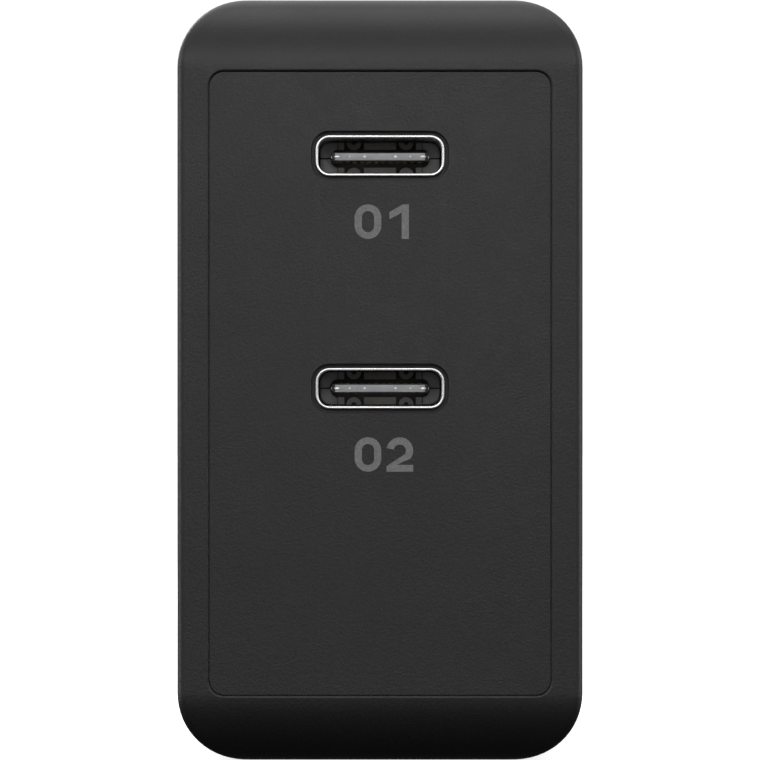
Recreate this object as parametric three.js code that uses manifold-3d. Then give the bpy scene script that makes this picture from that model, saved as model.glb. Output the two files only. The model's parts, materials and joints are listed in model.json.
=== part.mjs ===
// A two-port USB-C wall charger with a folding two-blade plug, as an assembly of separate pieces.
// Millimetres. X runs to the right seen from the ports, Y towards the wall outlet, Z up.
// The origin is the middle of the plug's rear face, which meets the outlet.
import * as THREE from "three";
import { mergeVertices } from "three/addons/utils/BufferGeometryUtils.js";
import Module from "manifold-3d";

const wasm = await Module();
wasm.setup();

// ---------------------------------------------------------------- driving dimensions

// Housing
const WIDTH = 28;
const HEIGHT = 53.1;
const DEPTH = 56;
const PLUG_FROM_TOP = 17.2; // the plug's middle, below the top end
const CORNER_RADIUS = 4.95; // outline corners, seen from the ports
const FRONT_ROUND = 5; // top and bottom edges of the front, seen from the side
const REAR_ROUND = 3; // the same at the rear
const EDGE_FILLET = 0.45; // upright side edges, front and rear
const WALL = 1.8;
const FRONT_WALL = 2.2;
const COVER_BACK = 1.6; // back wall of the rear cover
const COVER_DEPTH = 10;
const SEAM_GAP = 0.15; // shadow line between sleeve and rear cover
const LIP_DEPTH = 3; // lip of the rear cover inside the sleeve
const LIP_WALL = 1;
const LIP_CLEARANCE = 0.1;
const GLUE_LINE = 0.05; // gap between pieces that lie on each other

// Front panel
const PANEL_TOP_MARGIN = 5.28;
const PANEL_BOTTOM_MARGIN = 4.8;
const PANEL_SIDE_MARGIN = 2.21;
const PANEL_CORNER = 1.03;
const PANEL_THICKNESS = 1.35;
const PANEL_SET_BACK = 0.1;
const PANEL_GAP = 0.08;
const LEDGE = 1.2; // rim that the panel is glued on

// USB-C ports
const PORT_FROM_TOP = 11.06; // upper port's middle
const PORT_SPACING = 16.07;
const MOUTH_WIDTH = 8.4;
const MOUTH_HEIGHT = 2.52;
const MOUTH_CORNER = 0.8;
const PORT_SHEET = 0.24; // steel of the port's sleeve
const PORT_SET_BACK = 0.15; // behind the panel's face
const PORT_GAP = 0.3; // between the port's sleeve and the panel
const PORT_LENGTH = 9.2;
const PORT_DEPTH = 6.2; // from the mouth to the moulded bottom
const TONGUE_WIDTH = 6.69;
const TONGUE_THICKNESS = 0.7;
const TONGUE_SET_BACK = 1.75; // tip behind the mouth
const MIDPLATE_THICKNESS = 0.15;

// Plug
const BLADE_SPACING = 12.7;
const BLADE_WIDTH = 6.35;
const BLADE_THICKNESS = 1.52;
const BLADE_LENGTH = 17; // beyond the rear face
const BLADE_HOLE = 3.18;
const BLADE_HOLE_FROM_FACE = 11.9;
const BLADE_TIP_CHAMFER = 1.1;
const PIVOT_DEPTH = 4; // pivot axis behind the rear face
const BARREL_RADIUS = 5.2;
const BARREL_OVERHANG = 3.15; // barrel beyond the blades' middles
const TRUNNION_RADIUS = 1.6;
const TRUNNION_LENGTH = 1.4;
const TURN_CLEARANCE = 0.2;
const ROOT_REACH = 0.8; // blade root beyond the barrel
const ROOT_WIDTH = 4;
const DETENT_WIDTH = 8;
const DETENT_DEPTH = 0.25;
const SLOT_SIDE_CLEARANCE = 0.39;
const SLOT_END_CLEARANCE = 0.8;
const SLOT_FLOOR_CLEARANCE = 0.42;
const TROUGH_WALL = 1.2;
const RETAINER_THICKNESS = 1.2;
const RETAINER_CLEARANCE = 0.9; // to the blades' turning roots
const BOSS_ABOVE = 4.8; // screw boss's middle, above the barrel
const BOSS_BELOW = 3.8;
const RETAINER_HALF = 3; // half the width of its bar and spine
const SPRING_SHEET = 0.3;
const SCREW_DIAMETER = 1.6;
const SCREW_HEAD_DIAMETER = 3;
const SCREW_HEAD_HEIGHT = 1;
const SCREW_LENGTH = 5;
const SCREW_HEAD_CLEARANCE = 0.45; // to the main board

// Boards and what stands on them
const BOARD_THICKNESS = 1.6;
const PORT_BOARD_THICKNESS = 1.2;
const BOARD_JOINT = 0.4; // between the two boards
const BOARD_BACK_CLEARANCE = 0.9; // behind the main board, to the housing's side
const BOARD_EDGE_CLEARANCE = 1.25; // to the housing's inside, top and bottom
const RAIL_WALL = 1;
const RAIL_CLEARANCE = 0.15;
const WIRING_SPACE = 2; // behind the first components, for the mains wires
const WIRE_DIAMETER = 1.1;
const BULK_DIAMETER = 9.5;
const BULK_LENGTH = 18;
const CORE_WIDTH = 17.2;
const CORE_HEIGHT = 16;
const CORE_DEPTH = 8.4;
const WINDING_RADIUS = 6.2;
const PAD_LENGTH = 9;
const OUT_DIAMETER = 6.3; // output capacitors
const OUT_LENGTH = 9;
const INDUCTOR = 6.1;
const FILM_TALL = 8.2; // film capacitor across the mains

// ---------------------------------------------------------------- levels worked out from them

const side = WIDTH / 2;
const top = PLUG_FROM_TOP;
const bottom = top - HEIGHT;
const front = -DEPTH;
const innerSide = side - WALL;
const innerTop = top - WALL;
const innerBottom = bottom + WALL;
const innerFront = front + FRONT_WALL;
const innerCorner = CORNER_RADIUS - WALL;

const panelFace = front + PANEL_SET_BACK;
const panelBack = panelFace + PANEL_THICKNESS;
const panelHalf = side - PANEL_SIDE_MARGIN;
const panelTop = top - PANEL_TOP_MARGIN;
const panelBottom = bottom + PANEL_BOTTOM_MARGIN;

const mouthFace = panelFace + PORT_SET_BACK;
const portRear = mouthFace + PORT_LENGTH;
const portHeights = { upper: top - PORT_FROM_TOP, lower: top - PORT_FROM_TOP - PORT_SPACING };
const portBoardFront = portRear + GLUE_LINE;
const portBoardRear = portBoardFront + PORT_BOARD_THICKNESS;

const pivotY = -PIVOT_DEPTH;
const bladeX = BLADE_SPACING / 2;
const barrelHalf = bladeX + BARREL_OVERHANG;
const trunnionEnd = barrelHalf + TRUNNION_LENGTH;
const rootRadius = BARREL_RADIUS + ROOT_REACH;
const cavityRadius = BARREL_RADIUS + TURN_CLEARANCE;
const cavityHalf = barrelHalf + TURN_CLEARANCE;
const slotHalf = BLADE_THICKNESS / 2 + SLOT_SIDE_CLEARANCE;
const slotFloor = pivotY - BLADE_WIDTH / 2 - SLOT_FLOOR_CLEARANCE;
const slotEnd = -(BLADE_LENGTH + PIVOT_DEPTH) - SLOT_END_CLEARANCE;
const retainerRear = pivotY - rootRadius - RETAINER_CLEARANCE;
const retainerFront = retainerRear - RETAINER_THICKNESS;
const bossHeights = { upper: BARREL_RADIUS + BOSS_ABOVE, lower: -BARREL_RADIUS - BOSS_BELOW };

const boardRear = retainerFront - GLUE_LINE - SCREW_HEAD_HEIGHT - SCREW_HEAD_CLEARANCE;
const boardFront = portBoardRear + BOARD_JOINT;
const boardTop = innerTop - BOARD_EDGE_CLEARANCE;
const boardBottom = innerBottom + BOARD_EDGE_CLEARANCE;
const boardLeft = -innerSide + BOARD_BACK_CLEARANCE;
const boardFace = boardLeft + BOARD_THICKNESS;
const seat = boardFace + GLUE_LINE; // components stand here and rise along +X
const railHeight = BOARD_EDGE_CLEARANCE + 0.9;
const floorZ = innerBottom + railHeight + 0.25; // lowest and highest a component may reach
const ceilingZ = innerTop - railHeight - 0.15;
const firstRow = boardRear - WIRING_SPACE;

// ---------------------------------------------------------------- solids

function solidFrom(geometry) {
  const plain = geometry.index ? geometry.toNonIndexed() : geometry;
  const bare = new THREE.BufferGeometry();
  bare.setAttribute("position", plain.getAttribute("position"));
  const merged = mergeVertices(bare, 1e-4);
  const kept = [];
  for (let i = 0; i < merged.index.count; i += 3) {
    const [a, b, c] = merged.index.array.slice(i, i + 3);
    if (a !== b && b !== c && c !== a) kept.push(a, b, c);
  }
  const vertProperties = merged.attributes.position.array;
  return new wasm.Manifold(new wasm.Mesh({ numProp: 3, vertProperties, triVerts: new Uint32Array(kept) }));
}

function geometryFrom(solid) {
  const mesh = solid.getMesh();
  const indexed = new THREE.BufferGeometry();
  indexed.setAttribute("position", new THREE.BufferAttribute(new Float32Array(mesh.vertProperties), 3));
  indexed.setIndex(new THREE.BufferAttribute(new Uint32Array(mesh.triVerts), 1));
  const flat = indexed.toNonIndexed();
  flat.computeVertexNormals();
  return flat;
}

const join = (...solids) => solids.reduce((whole, next) => whole.add(next));
const cut = (whole, ...tools) => tools.reduce((left, tool) => left.subtract(tool), whole);

function turned(geometry, x, y, z) {
  return geometry.applyMatrix4(new THREE.Matrix4().makeBasis(x, y, z));
}

const X = new THREE.Vector3(1, 0, 0);
const Y = new THREE.Vector3(0, 1, 0);
const Z = new THREE.Vector3(0, 0, 1);
const BACKWARDS = new THREE.Vector3(0, -1, 0);
const DOWN = new THREE.Vector3(0, 0, -1);

const extruded = (shape, depth, curveSegments) =>
  new THREE.ExtrudeGeometry(shape, { depth, curveSegments, bevelEnabled: false });

// A shape drawn in Y and Z, from x0 to x1.
function alongX(shape, x0, x1, curveSegments = 4) {
  return solidFrom(turned(extruded(shape, x1 - x0, curveSegments), Y, Z, X).translate(x0, 0, 0));
}

// A shape drawn in X and Z, from y0 to y1.
function alongY(shape, y0, y1, curveSegments = 4) {
  return solidFrom(turned(extruded(shape, y1 - y0, curveSegments), X, Z, BACKWARDS).translate(0, y1, 0));
}

// A shape drawn in X and Y, from z0 to z1.
function alongZ(shape, z0, z1, curveSegments = 4) {
  return solidFrom(extruded(shape, z1 - z0, curveSegments).translate(0, 0, z0));
}

function block(x0, x1, y0, y1, z0, z1) {
  const geometry = new THREE.BoxGeometry(x1 - x0, y1 - y0, z1 - z0);
  return solidFrom(geometry.translate((x0 + x1) / 2, (y0 + y1) / 2, (z0 + z1) / 2));
}

function rodX(radius, x0, x1, y, z, sides = 24) {
  const geometry = new THREE.CylinderGeometry(radius, radius, x1 - x0, sides);
  return solidFrom(turned(geometry, Y, X, DOWN).translate((x0 + x1) / 2, y, z));
}

function rodY(radius, y0, y1, x, z, sides = 24) {
  const geometry = new THREE.CylinderGeometry(radius, radius, y1 - y0, sides);
  return solidFrom(geometry.translate(x, (y0 + y1) / 2, z));
}

function rodZ(radius, z0, z1, x, y, sides = 24) {
  const geometry = new THREE.CylinderGeometry(radius, radius, z1 - z0, sides);
  return solidFrom(turned(geometry, X, Z, BACKWARDS).translate(x, y, (z0 + z1) / 2));
}

// A closed profile of [radius, height] points, spun about Y.
function spun(points, sides = 24) {
  const outline = [...points, points[0]].map(([r, h]) => new THREE.Vector2(r, h));
  return new THREE.LatheGeometry(outline, sides);
}

// A rectangle with a corner radius of its own for the low and the high end of its second axis.
function roundedRect(a0, a1, b0, b1, low, high = low) {
  const quarter = Math.PI / 2;
  const shape = new THREE.Shape();
  shape.moveTo(a0 + low, b0);
  shape.lineTo(a1 - low, b0);
  shape.absarc(a1 - low, b0 + low, low, -quarter, 0);
  shape.lineTo(a1, b1 - high);
  shape.absarc(a1 - high, b1 - high, high, 0, quarter);
  shape.lineTo(a0 + high, b1);
  shape.absarc(a0 + high, b1 - high, high, quarter, 2 * quarter);
  shape.lineTo(a0, b0 + low);
  shape.absarc(a0 + low, b0 + low, low, 2 * quarter, 3 * quarter);
  return shape;
}

function polygon(points) {
  return new THREE.Shape(points.map(([a, b]) => new THREE.Vector2(a, b)));
}

// ---------------------------------------------------------------- the assembly

const charger = new THREE.Group();

function finish(color, roughness, metalness) {
  return () => new THREE.MeshStandardMaterial({ color, roughness, metalness });
}

const blackShell = finish("#232324", 0.55, 0);
const blackMoulding = finish("#1c1c1e", 0.5, 0);
const nickel = finish("#c9c5bd", 0.25, 1);
const steel = finish("#b8b8b6", 0.35, 1);
const bronze = finish("#b98a52", 0.35, 1);
const greenBoard = finish("#1d5a38", 0.5, 0);
const ferrite = finish("#3a3a3d", 0.6, 0);
const yellowTape = finish("#d9b93a", 0.45, 0);
const copper = finish("#b5653a", 0.35, 1);
const epoxy = finish("#17171a", 0.5, 0);

function piece(name, solid, material) {
  const mesh = new THREE.Mesh(geometryFrom(solid), material());
  mesh.name = name;
  charger.add(mesh);
}

// ---------------------------------------------------------------- housing

const OUTER_STEPS = 8; // half the steps in a quarter turn of the outer arcs

// The whole outer form: a rounded outline with its front and rear ends rounded from the side.
function outerForm() {
  const outline = alongY(roundedRect(-side, side, bottom, top, CORNER_RADIUS), front, 0, OUTER_STEPS);
  const profile = new THREE.Shape();
  const quarter = Math.PI / 2;
  profile.moveTo(front + FRONT_ROUND, bottom);
  profile.lineTo(-REAR_ROUND, bottom);
  profile.absarc(-REAR_ROUND, bottom + REAR_ROUND, REAR_ROUND, -quarter, 0);
  profile.lineTo(0, top - REAR_ROUND);
  profile.absarc(-REAR_ROUND, top - REAR_ROUND, REAR_ROUND, 0, quarter);
  profile.lineTo(front + FRONT_ROUND, top);
  profile.absarc(front + FRONT_ROUND, top - FRONT_ROUND, FRONT_ROUND, quarter, 2 * quarter);
  profile.lineTo(front, bottom + FRONT_ROUND);
  profile.absarc(front + FRONT_ROUND, bottom + FRONT_ROUND, FRONT_ROUND, 2 * quarter, 3 * quarter);
  const plan = roundedRect(-side, side, front, 0, EDGE_FILLET);
  const rounded = outline.intersect(alongX(profile, -side - 1, side + 1, OUTER_STEPS));
  return rounded.intersect(alongZ(plan, bottom - 1, top + 1, 2));
}

const outer = outerForm();
const seamY = -COVER_DEPTH;

function housingSleeve() {
  const reach = side + 1;
  const shell = outer.intersect(block(-reach, reach, front - 1, seamY - SEAM_GAP, bottom - 1, top + 1));
  const chamber = roundedRect(-innerSide, innerSide, innerBottom, innerTop, innerCorner);
  const inside = alongY(chamber, innerFront, 0);
  const round = FRONT_ROUND - FRONT_WALL;
  const insideProfile = roundedRect(innerBottom, innerTop, -1, DEPTH - FRONT_WALL, 0.01, round);
  // drawn in Z and -Y, then turned so that its rounded end faces the ports
  const insideEnds = solidFrom(
    turned(extruded(insideProfile, 2 * reach, 4), Z, BACKWARDS, X).translate(-reach, 0, 0),
  );
  const gap = PANEL_GAP;
  const recess = roundedRect(
    -panelHalf - gap, panelHalf + gap, panelBottom - gap, panelTop + gap, PANEL_CORNER + gap,
  );
  const window = roundedRect(
    -panelHalf + LEDGE, panelHalf - LEDGE, panelBottom + LEDGE, panelTop - LEDGE, PANEL_CORNER,
  );
  const hollow = cut(
    shell,
    inside.intersect(insideEnds),
    alongY(recess, front - 1, panelBack + GLUE_LINE, 2),
    alongY(window, front - 1, innerFront + 1, 2),
  );
  return hollow.add(boardRails());
}

// Four ribs, which hold the main board by its top and bottom edges.
function boardRails() {
  const behind = boardLeft - RAIL_CLEARANCE;
  const ahead = boardFace + RAIL_CLEARANCE;
  const spans = [[-innerSide - 0.3, behind], [ahead, ahead + RAIL_WALL]];
  const ends = [[innerTop - railHeight, innerTop + 0.3], [innerBottom - 0.3, innerBottom + railHeight]];
  const rails = spans.flatMap(([x0, x1]) =>
    ends.map(([z0, z1]) => block(x0, x1, boardFront, boardRear, z0, z1)),
  );
  return join(...rails);
}

function frontPanel() {
  const outline = roundedRect(-panelHalf, panelHalf, panelBottom, panelTop, PANEL_CORNER);
  const plate = alongY(outline, panelFace, panelBack, 2);
  const grow = PORT_SHEET + PORT_GAP;
  const holes = Object.values(portHeights).map((z) =>
    alongY(mouthOutline(z, grow), panelFace - 1, panelBack + 1, 3),
  );
  return cut(plate, ...holes);
}

// The outline of a port's mouth, grown evenly.
function mouthOutline(z, grow) {
  const a = MOUTH_WIDTH / 2 + grow;
  const b = MOUTH_HEIGHT / 2 + grow;
  return roundedRect(-a, a, z - b, z + b, MOUTH_CORNER + grow);
}

// ---------------------------------------------------------------- rear cover with the plug's pocket

function rearCover() {
  const reach = side + 1;
  const cap = outer.intersect(block(-reach, reach, seamY, 1, bottom - 1, top + 1));
  const lipHalf = innerSide - LIP_CLEARANCE;
  const lipFront = seamY - LIP_DEPTH;
  const ringRear = seamY + LIP_DEPTH;
  const lip = roundedRect(
    -lipHalf, lipHalf, innerBottom + LIP_CLEARANCE, innerTop - LIP_CLEARANCE, innerCorner - LIP_CLEARANCE,
  );
  const inset = LIP_CLEARANCE + LIP_WALL;
  const throat = roundedRect(
    -innerSide + inset, innerSide - inset, innerBottom + inset, innerTop - inset, innerCorner - inset,
  );
  const chamber = roundedRect(-innerSide, innerSide, innerBottom, innerTop, innerCorner);
  const shell = cut(
    cap.add(alongY(lip, lipFront, seamY + 0.5)),
    alongY(throat, lipFront - 1, ringRear + 0.01),
    alongY(chamber, ringRear, -COVER_BACK),
  );
  const inner = block(-innerSide - 0.4, innerSide + 0.4, -DEPTH, -COVER_BACK + 0.4, innerBottom, innerTop);
  const fittings = join(pocketBlock(), ...troughs(), scoopBacking(), ...screwBosses()).intersect(inner);
  return cut(shell.add(fittings), ...plugSpace(), ...screwHoles());
}

const pocketFront = pivotY - 4;

function pocketBlock() {
  const roof = rootRadius + 1.4;
  const floor = -cavityRadius - TROUGH_WALL;
  return block(-innerSide - 0.4, innerSide + 0.4, pocketFront, -COVER_BACK + 0.4, floor, roof);
}

const bladeSides = [-bladeX, bladeX];

// Walls round the slots that the folded blades lie in.
function troughs() {
  const half = slotHalf + TROUGH_WALL;
  const [deepest, lowest] = [slotFloor - TROUGH_WALL, slotEnd - TROUGH_WALL];
  return bladeSides.map((x) =>
    block(x - half, x + half, deepest, -COVER_BACK + 0.4, lowest, -PIVOT_DEPTH),
  );
}

const SCOOP_RADIUS = 6;
const SCOOP_DEPTH = 1.6;
const SCOOP_HALF = bladeX + 3;
const scoopZ = slotEnd + 3.3;

function scoopBacking() {
  const half = SCOOP_RADIUS - 1;
  const reach = SCOOP_HALF + 1;
  const deepest = -SCOOP_DEPTH - COVER_BACK - 0.2;
  return block(-reach, reach, deepest, -COVER_BACK + 0.4, scoopZ - half, scoopZ + half);
}

function screwBosses() {
  return Object.values(bossHeights).map((z) =>
    rodY(2.1, retainerRear + GLUE_LINE, -COVER_BACK + 0.4, 0, z, 16),
  );
}

function screwHoles() {
  const depth = SCREW_LENGTH - RETAINER_THICKNESS + 0.6;
  return Object.values(bossHeights).map((z) =>
    rodY(SCREW_DIAMETER / 2 + 0.05, retainerRear - 1, retainerRear + depth, 0, z, 12),
  );
}

// All that the turning plug needs clear: its round pocket, its pivots, and the blades' way down.
function plugSpace() {
  const barrel = rodX(cavityRadius, -cavityHalf, cavityHalf, pivotY, 0, 48);
  const mouth = block(-cavityHalf, cavityHalf, -DEPTH, pivotY, -cavityRadius, cavityRadius);
  const pivotHalf = TRUNNION_RADIUS + 0.1;
  const pivotReach = trunnionEnd + 0.15;
  const pivots = [
    rodX(pivotHalf, -pivotReach, pivotReach, pivotY, 0, 20),
    block(-pivotReach, pivotReach, -DEPTH, pivotY, -pivotHalf, pivotHalf),
  ];
  const rootSwing = rodX(rootRadius + 0.25, -side, side, pivotY, 0, 48);
  const slotTop = BLADE_WIDTH / 2 + SLOT_SIDE_CLEARANCE;
  const slots = bladeSides.flatMap((x) => [
    block(x - slotHalf, x + slotHalf, slotFloor, 1, slotEnd, slotTop),
    rootSwing.intersect(block(x - slotHalf, x + slotHalf, -DEPTH, -COVER_BACK - 0.15, 0, HEIGHT)),
  ]);
  const scoop = rodX(SCOOP_RADIUS, -SCOOP_HALF, SCOOP_HALF, SCOOP_RADIUS - SCOOP_DEPTH, scoopZ, 48);
  const barHalf = RETAINER_HALF + 0.15;
  const bar = block(-pivotReach, pivotReach, -DEPTH, retainerRear + GLUE_LINE, -barHalf, barHalf);
  return [barrel, mouth, ...pivots, ...slots, scoop, bar];
}

// ---------------------------------------------------------------- folding plug

function plugRotor() {
  const barrel = rodX(BARREL_RADIUS, -barrelHalf, barrelHalf, pivotY, 0, 48);
  const trunnions = rodX(TRUNNION_RADIUS, -trunnionEnd, trunnionEnd, pivotY, 0, 20);
  const flatRear = block(-side, side, 0, 10, -HEIGHT, HEIGHT);
  const flatTop = block(-side, side, -DEPTH, 10, PIVOT_DEPTH, HEIGHT);
  const detentHalf = DETENT_WIDTH / 2;
  const detent = BARREL_RADIUS - DETENT_DEPTH;
  const detentFront = block(-detentHalf, detentHalf, -DEPTH, pivotY - detent, -HEIGHT, HEIGHT);
  const detentLow = block(-detentHalf, detentHalf, -DEPTH, 10, -HEIGHT, -detent);
  const pocketHalf = BLADE_THICKNESS / 2 + GLUE_LINE;
  const pocketWide = BLADE_WIDTH / 2 + GLUE_LINE;
  const pockets = bladeSides.map((x) =>
    block(x - pocketHalf, x + pocketHalf, -DEPTH, 10, -pocketWide, pocketWide),
  );
  return cut(barrel, flatRear, flatTop, detentFront, detentLow, ...pockets).add(
    cut(trunnions, block(-barrelHalf + 0.5, barrelHalf - 0.5, -DEPTH, 10, -HEIGHT, HEIGHT)),
  );
}

// One blade, seen from the side: chamfered tip, round hole, and a narrow root with an end round the pivot.
function plugBlade(x) {
  const half = BLADE_WIDTH / 2;
  const rootHalf = ROOT_WIDTH / 2;
  const tip = BLADE_LENGTH;
  const nip = BLADE_TIP_CHAMFER;
  const shoulder = pivotY - Math.min(PIVOT_DEPTH, Math.sqrt(BARREL_RADIUS ** 2 - half ** 2));
  const rootAngle = Math.asin(rootHalf / rootRadius);
  const shape = new THREE.Shape();
  shape.moveTo(shoulder, -half);
  shape.lineTo(tip - nip, -half);
  shape.lineTo(tip, -half + nip);
  shape.lineTo(tip, half - nip);
  shape.lineTo(tip - nip, half);
  shape.lineTo(shoulder, half);
  shape.lineTo(shoulder, rootHalf);
  shape.absarc(pivotY, 0, rootRadius, Math.PI - rootAngle, Math.PI + rootAngle);
  shape.lineTo(shoulder, -rootHalf);
  const hole = rodX(BLADE_HOLE / 2, x - 2, x + 2, BLADE_HOLE_FROM_FACE, 0, 24);
  const thick = BLADE_THICKNESS / 2;
  const bevel = polygon([
    [x - thick, -DEPTH], [x + thick, -DEPTH], [x + thick, tip - 1.6], [x + thick - 0.4, tip + 0.01],
    [x - thick + 0.4, tip + 0.01], [x - thick, tip - 1.6],
  ]);
  return cut(alongX(shape, x - thick, x + thick, 2), hole).intersect(alongZ(bevel, -half - 1, half + 1));
}

// Bridge over the plug's front side, with a post into each pivot slot.
function pivotRetainer() {
  const postHalf = TRUNNION_RADIUS - 0.05;
  const half = RETAINER_HALF;
  const bar = block(-trunnionEnd, trunnionEnd, retainerFront, retainerRear, -half, half);
  const [low, high] = [bossHeights.lower - 2.5, bossHeights.upper + 2.5];
  const spine = block(-half, half, retainerFront, retainerRear, low, high);
  const postRear = pivotY - TRUNNION_RADIUS - 0.15;
  const posts = [-1, 1].map((s) => {
    const near = s * (barrelHalf + 0.3);
    const far = s * trunnionEnd;
    const [x0, x1] = [Math.min(near, far), Math.max(near, far)];
    return block(x0, x1, retainerRear - 0.1, postRear, -postHalf, postHalf);
  });
  const holes = Object.values(bossHeights).map((z) =>
    rodY(SCREW_DIAMETER / 2 + 0.15, retainerFront - 1, retainerRear + 1, 0, z, 16),
  );
  return cut(join(bar, spine, ...posts), ...holes);
}

function retainerScrew(z) {
  const shank = SCREW_DIAMETER / 2;
  const head = SCREW_HEAD_DIAMETER / 2;
  const under = retainerFront - GLUE_LINE;
  const profile = [
    [0, SCREW_LENGTH], [shank * 0.5, SCREW_LENGTH], [shank, SCREW_LENGTH - 0.7], [shank, 0], [head, 0],
    [head, -SCREW_HEAD_HEIGHT * 0.5], [head * 0.75, -SCREW_HEAD_HEIGHT], [0, -SCREW_HEAD_HEIGHT],
  ].reverse();
  const body = solidFrom(spun(profile, 16).translate(0, under, z));
  const arm = SCREW_HEAD_DIAMETER * 0.28;
  const crossDepth = under - SCREW_HEAD_HEIGHT * 0.45;
  return cut(
    body,
    block(-arm, arm, under - 5, crossDepth, z - 0.2, z + 0.2),
    block(-0.2, 0.2, under - 5, crossDepth, z - arm, z + arm),
  );
}

// A strip of sheet drawn in Y and Z by its middle line.
function stripX(line, sheet, x0, x1) {
  const half = sheet / 2;
  const sides = [half, -half].map((offset) =>
    line.map(([y, z], i) => {
      const [y0, z0] = line[Math.max(i - 1, 0)];
      const [y1, z1] = line[Math.min(i + 1, line.length - 1)];
      const length = Math.hypot(y1 - y0, z1 - z0);
      return [y - (offset * (z1 - z0)) / length, z + (offset * (y1 - y0)) / length];
    }),
  );
  const shape = polygon([...sides[0], ...sides[1].reverse()]);
  return alongX(shape, x0, x1);
}

// Touches the blade's root end, and carries the mains wire at its lower end.
function contactSpring(x) {
  const half = SPRING_SHEET / 2;
  const touch = pivotY - rootRadius - GLUE_LINE - half;
  const held = retainerRear + GLUE_LINE + half;
  const line = [[touch, 2], [touch, -1.8], [held, -4], [held, -5.8]];
  return stripX(line, SPRING_SHEET, x - 1.2, x + 1.2);
}

// A bowed leaf that snaps onto the barrel's flats.
function detentSpring() {
  const half = SPRING_SHEET / 2;
  const held = retainerRear + GLUE_LINE + half;
  const crest = pivotY - BARREL_RADIUS - 0.15 - half;
  const line = [[held, -3.4], [held, -2.6], [crest, -0.8], [crest, 0.8], [held, 2.6], [held, 3.4]];
  return stripX(line, SPRING_SHEET, -2.6, 2.6);
}

// An insulated wire through a list of points.
function wire(points) {
  const path = new THREE.CatmullRomCurve3(points.map((p) => new THREE.Vector3(...p)));
  const circle = new THREE.Shape();
  const sides = 8;
  for (let i = 0; i < sides; i += 1) {
    const angle = (2 * Math.PI * i) / sides;
    const [a, b] = [Math.cos(angle), Math.sin(angle)].map((v) => (v * WIRE_DIAMETER) / 2);
    if (i === 0) circle.moveTo(a, b);
    else circle.lineTo(a, b);
  }
  const options = { steps: 12, extrudePath: path, bevelEnabled: false };
  return solidFrom(new THREE.ExtrudeGeometry(circle, options));
}

// From each contact spring's lower end to the main board's edge.
function mainsWires() {
  const start = retainerRear - 0.1;
  const run = boardRear - WIRING_SPACE / 2;
  const end = seat + 0.6;
  const left = [
    [-bladeX, start, -5.1], [-bladeX - 0.2, start - 1.2, -5.2],
    [-bladeX - 0.7, run, -5.3], [end, run, -5.3],
  ];
  const right = [
    [bladeX, start, -5.1], [bladeX - 0.2, start - 1.2, -5.2], [bladeX - 1.6, run, -5.8],
    [0, run, -7.5], [end, run, -8],
  ];
  return { left, right };
}

// ---------------------------------------------------------------- USB-C ports

function portShell(z) {
  const tube = cut(
    alongY(mouthOutline(z, PORT_SHEET), mouthFace, portRear, 3),
    alongY(mouthOutline(z, 0), mouthFace - 1, portRear + 1, 3),
  );
  return tube.add(join(...portTabs(z, 0)));
}

// The steel tabs at both sides of a port, which go through the port board.
function portTabs(z, clearance) {
  const inner = MOUTH_WIDTH / 2;
  const half = 0.42 + clearance;
  return [-1, 1].map((s) => {
    const a = s * (inner - clearance);
    const b = s * (inner + PORT_SHEET + clearance);
    return block(Math.min(a, b), Math.max(a, b), portRear - 0.2, portBoardRear + 0.4, z - half, z + half);
  });
}

const tongueTip = mouthFace + TONGUE_SET_BACK;
const portBottom = mouthFace + PORT_DEPTH;

function portInsulator(z) {
  const base = alongY(mouthOutline(z, -GLUE_LINE), portBottom, portRear - GLUE_LINE, 3);
  const step = alongY(mouthOutline(z, -0.35), portBottom - 0.95, portBottom + 0.1, 3);
  const half = TONGUE_THICKNESS / 2;
  const tip = 0.12;
  const tongueProfile = polygon([
    [tongueTip, z - half + tip], [tongueTip + tip * 2, z - half], [portBottom + 0.1, z - half],
    [portBottom + 0.1, z + half], [tongueTip + tip * 2, z + half], [tongueTip, z + half - tip],
  ]);
  const tongue = alongX(tongueProfile, -TONGUE_WIDTH / 2, TONGUE_WIDTH / 2);
  const slotHalfX = TONGUE_WIDTH / 2 + 0.08;
  const slotHalfZ = MIDPLATE_THICKNESS / 2 + 0.04;
  const [slotFront, slotRear] = [tongueTip - 1, midplateRear + GLUE_LINE];
  const slot = block(-slotHalfX, slotHalfX, slotFront, slotRear, z - slotHalfZ, z + slotHalfZ);
  return cut(join(base, step, tongue), slot);
}

const midplateRear = portRear - 1;

function portMidplate(z) {
  const half = TONGUE_WIDTH / 2 + 0.04;
  const latch = polygon([
    [-half, tongueTip + 0.35], [-half + 0.35, tongueTip + 0.04], [half - 0.35, tongueTip + 0.04],
    [half, tongueTip + 0.35], [half, midplateRear], [-half, midplateRear],
  ]);
  return alongZ(latch, z - MIDPLATE_THICKNESS / 2, z + MIDPLATE_THICKNESS / 2);
}

// ---------------------------------------------------------------- boards

const PORT_BOARD_MARGIN = 7.2; // above the upper port and below the lower one

function portBoard() {
  const half = innerSide - 0.7;
  const high = Math.min(portHeights.upper + PORT_BOARD_MARGIN, innerTop - 1.2);
  const low = portHeights.lower - PORT_BOARD_MARGIN;
  const plate = alongY(roundedRect(-half, half, low, high, 0.8), portBoardFront, portBoardRear, 1);
  const slots = Object.values(portHeights).flatMap((z) => portTabs(z, 0.12));
  return cut(plate, ...slots);
}

function mainBoard() {
  return block(boardLeft, boardFace, boardFront, boardRear, boardBottom, boardTop);
}

function insulationSheet() {
  const edge = railHeight + 0.3;
  return block(
    -innerSide + 0.15, boardLeft - 0.45, boardFront, boardRear, innerBottom + edge, innerTop - edge,
  );
}

// ---------------------------------------------------------------- what stands on the boards

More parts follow.
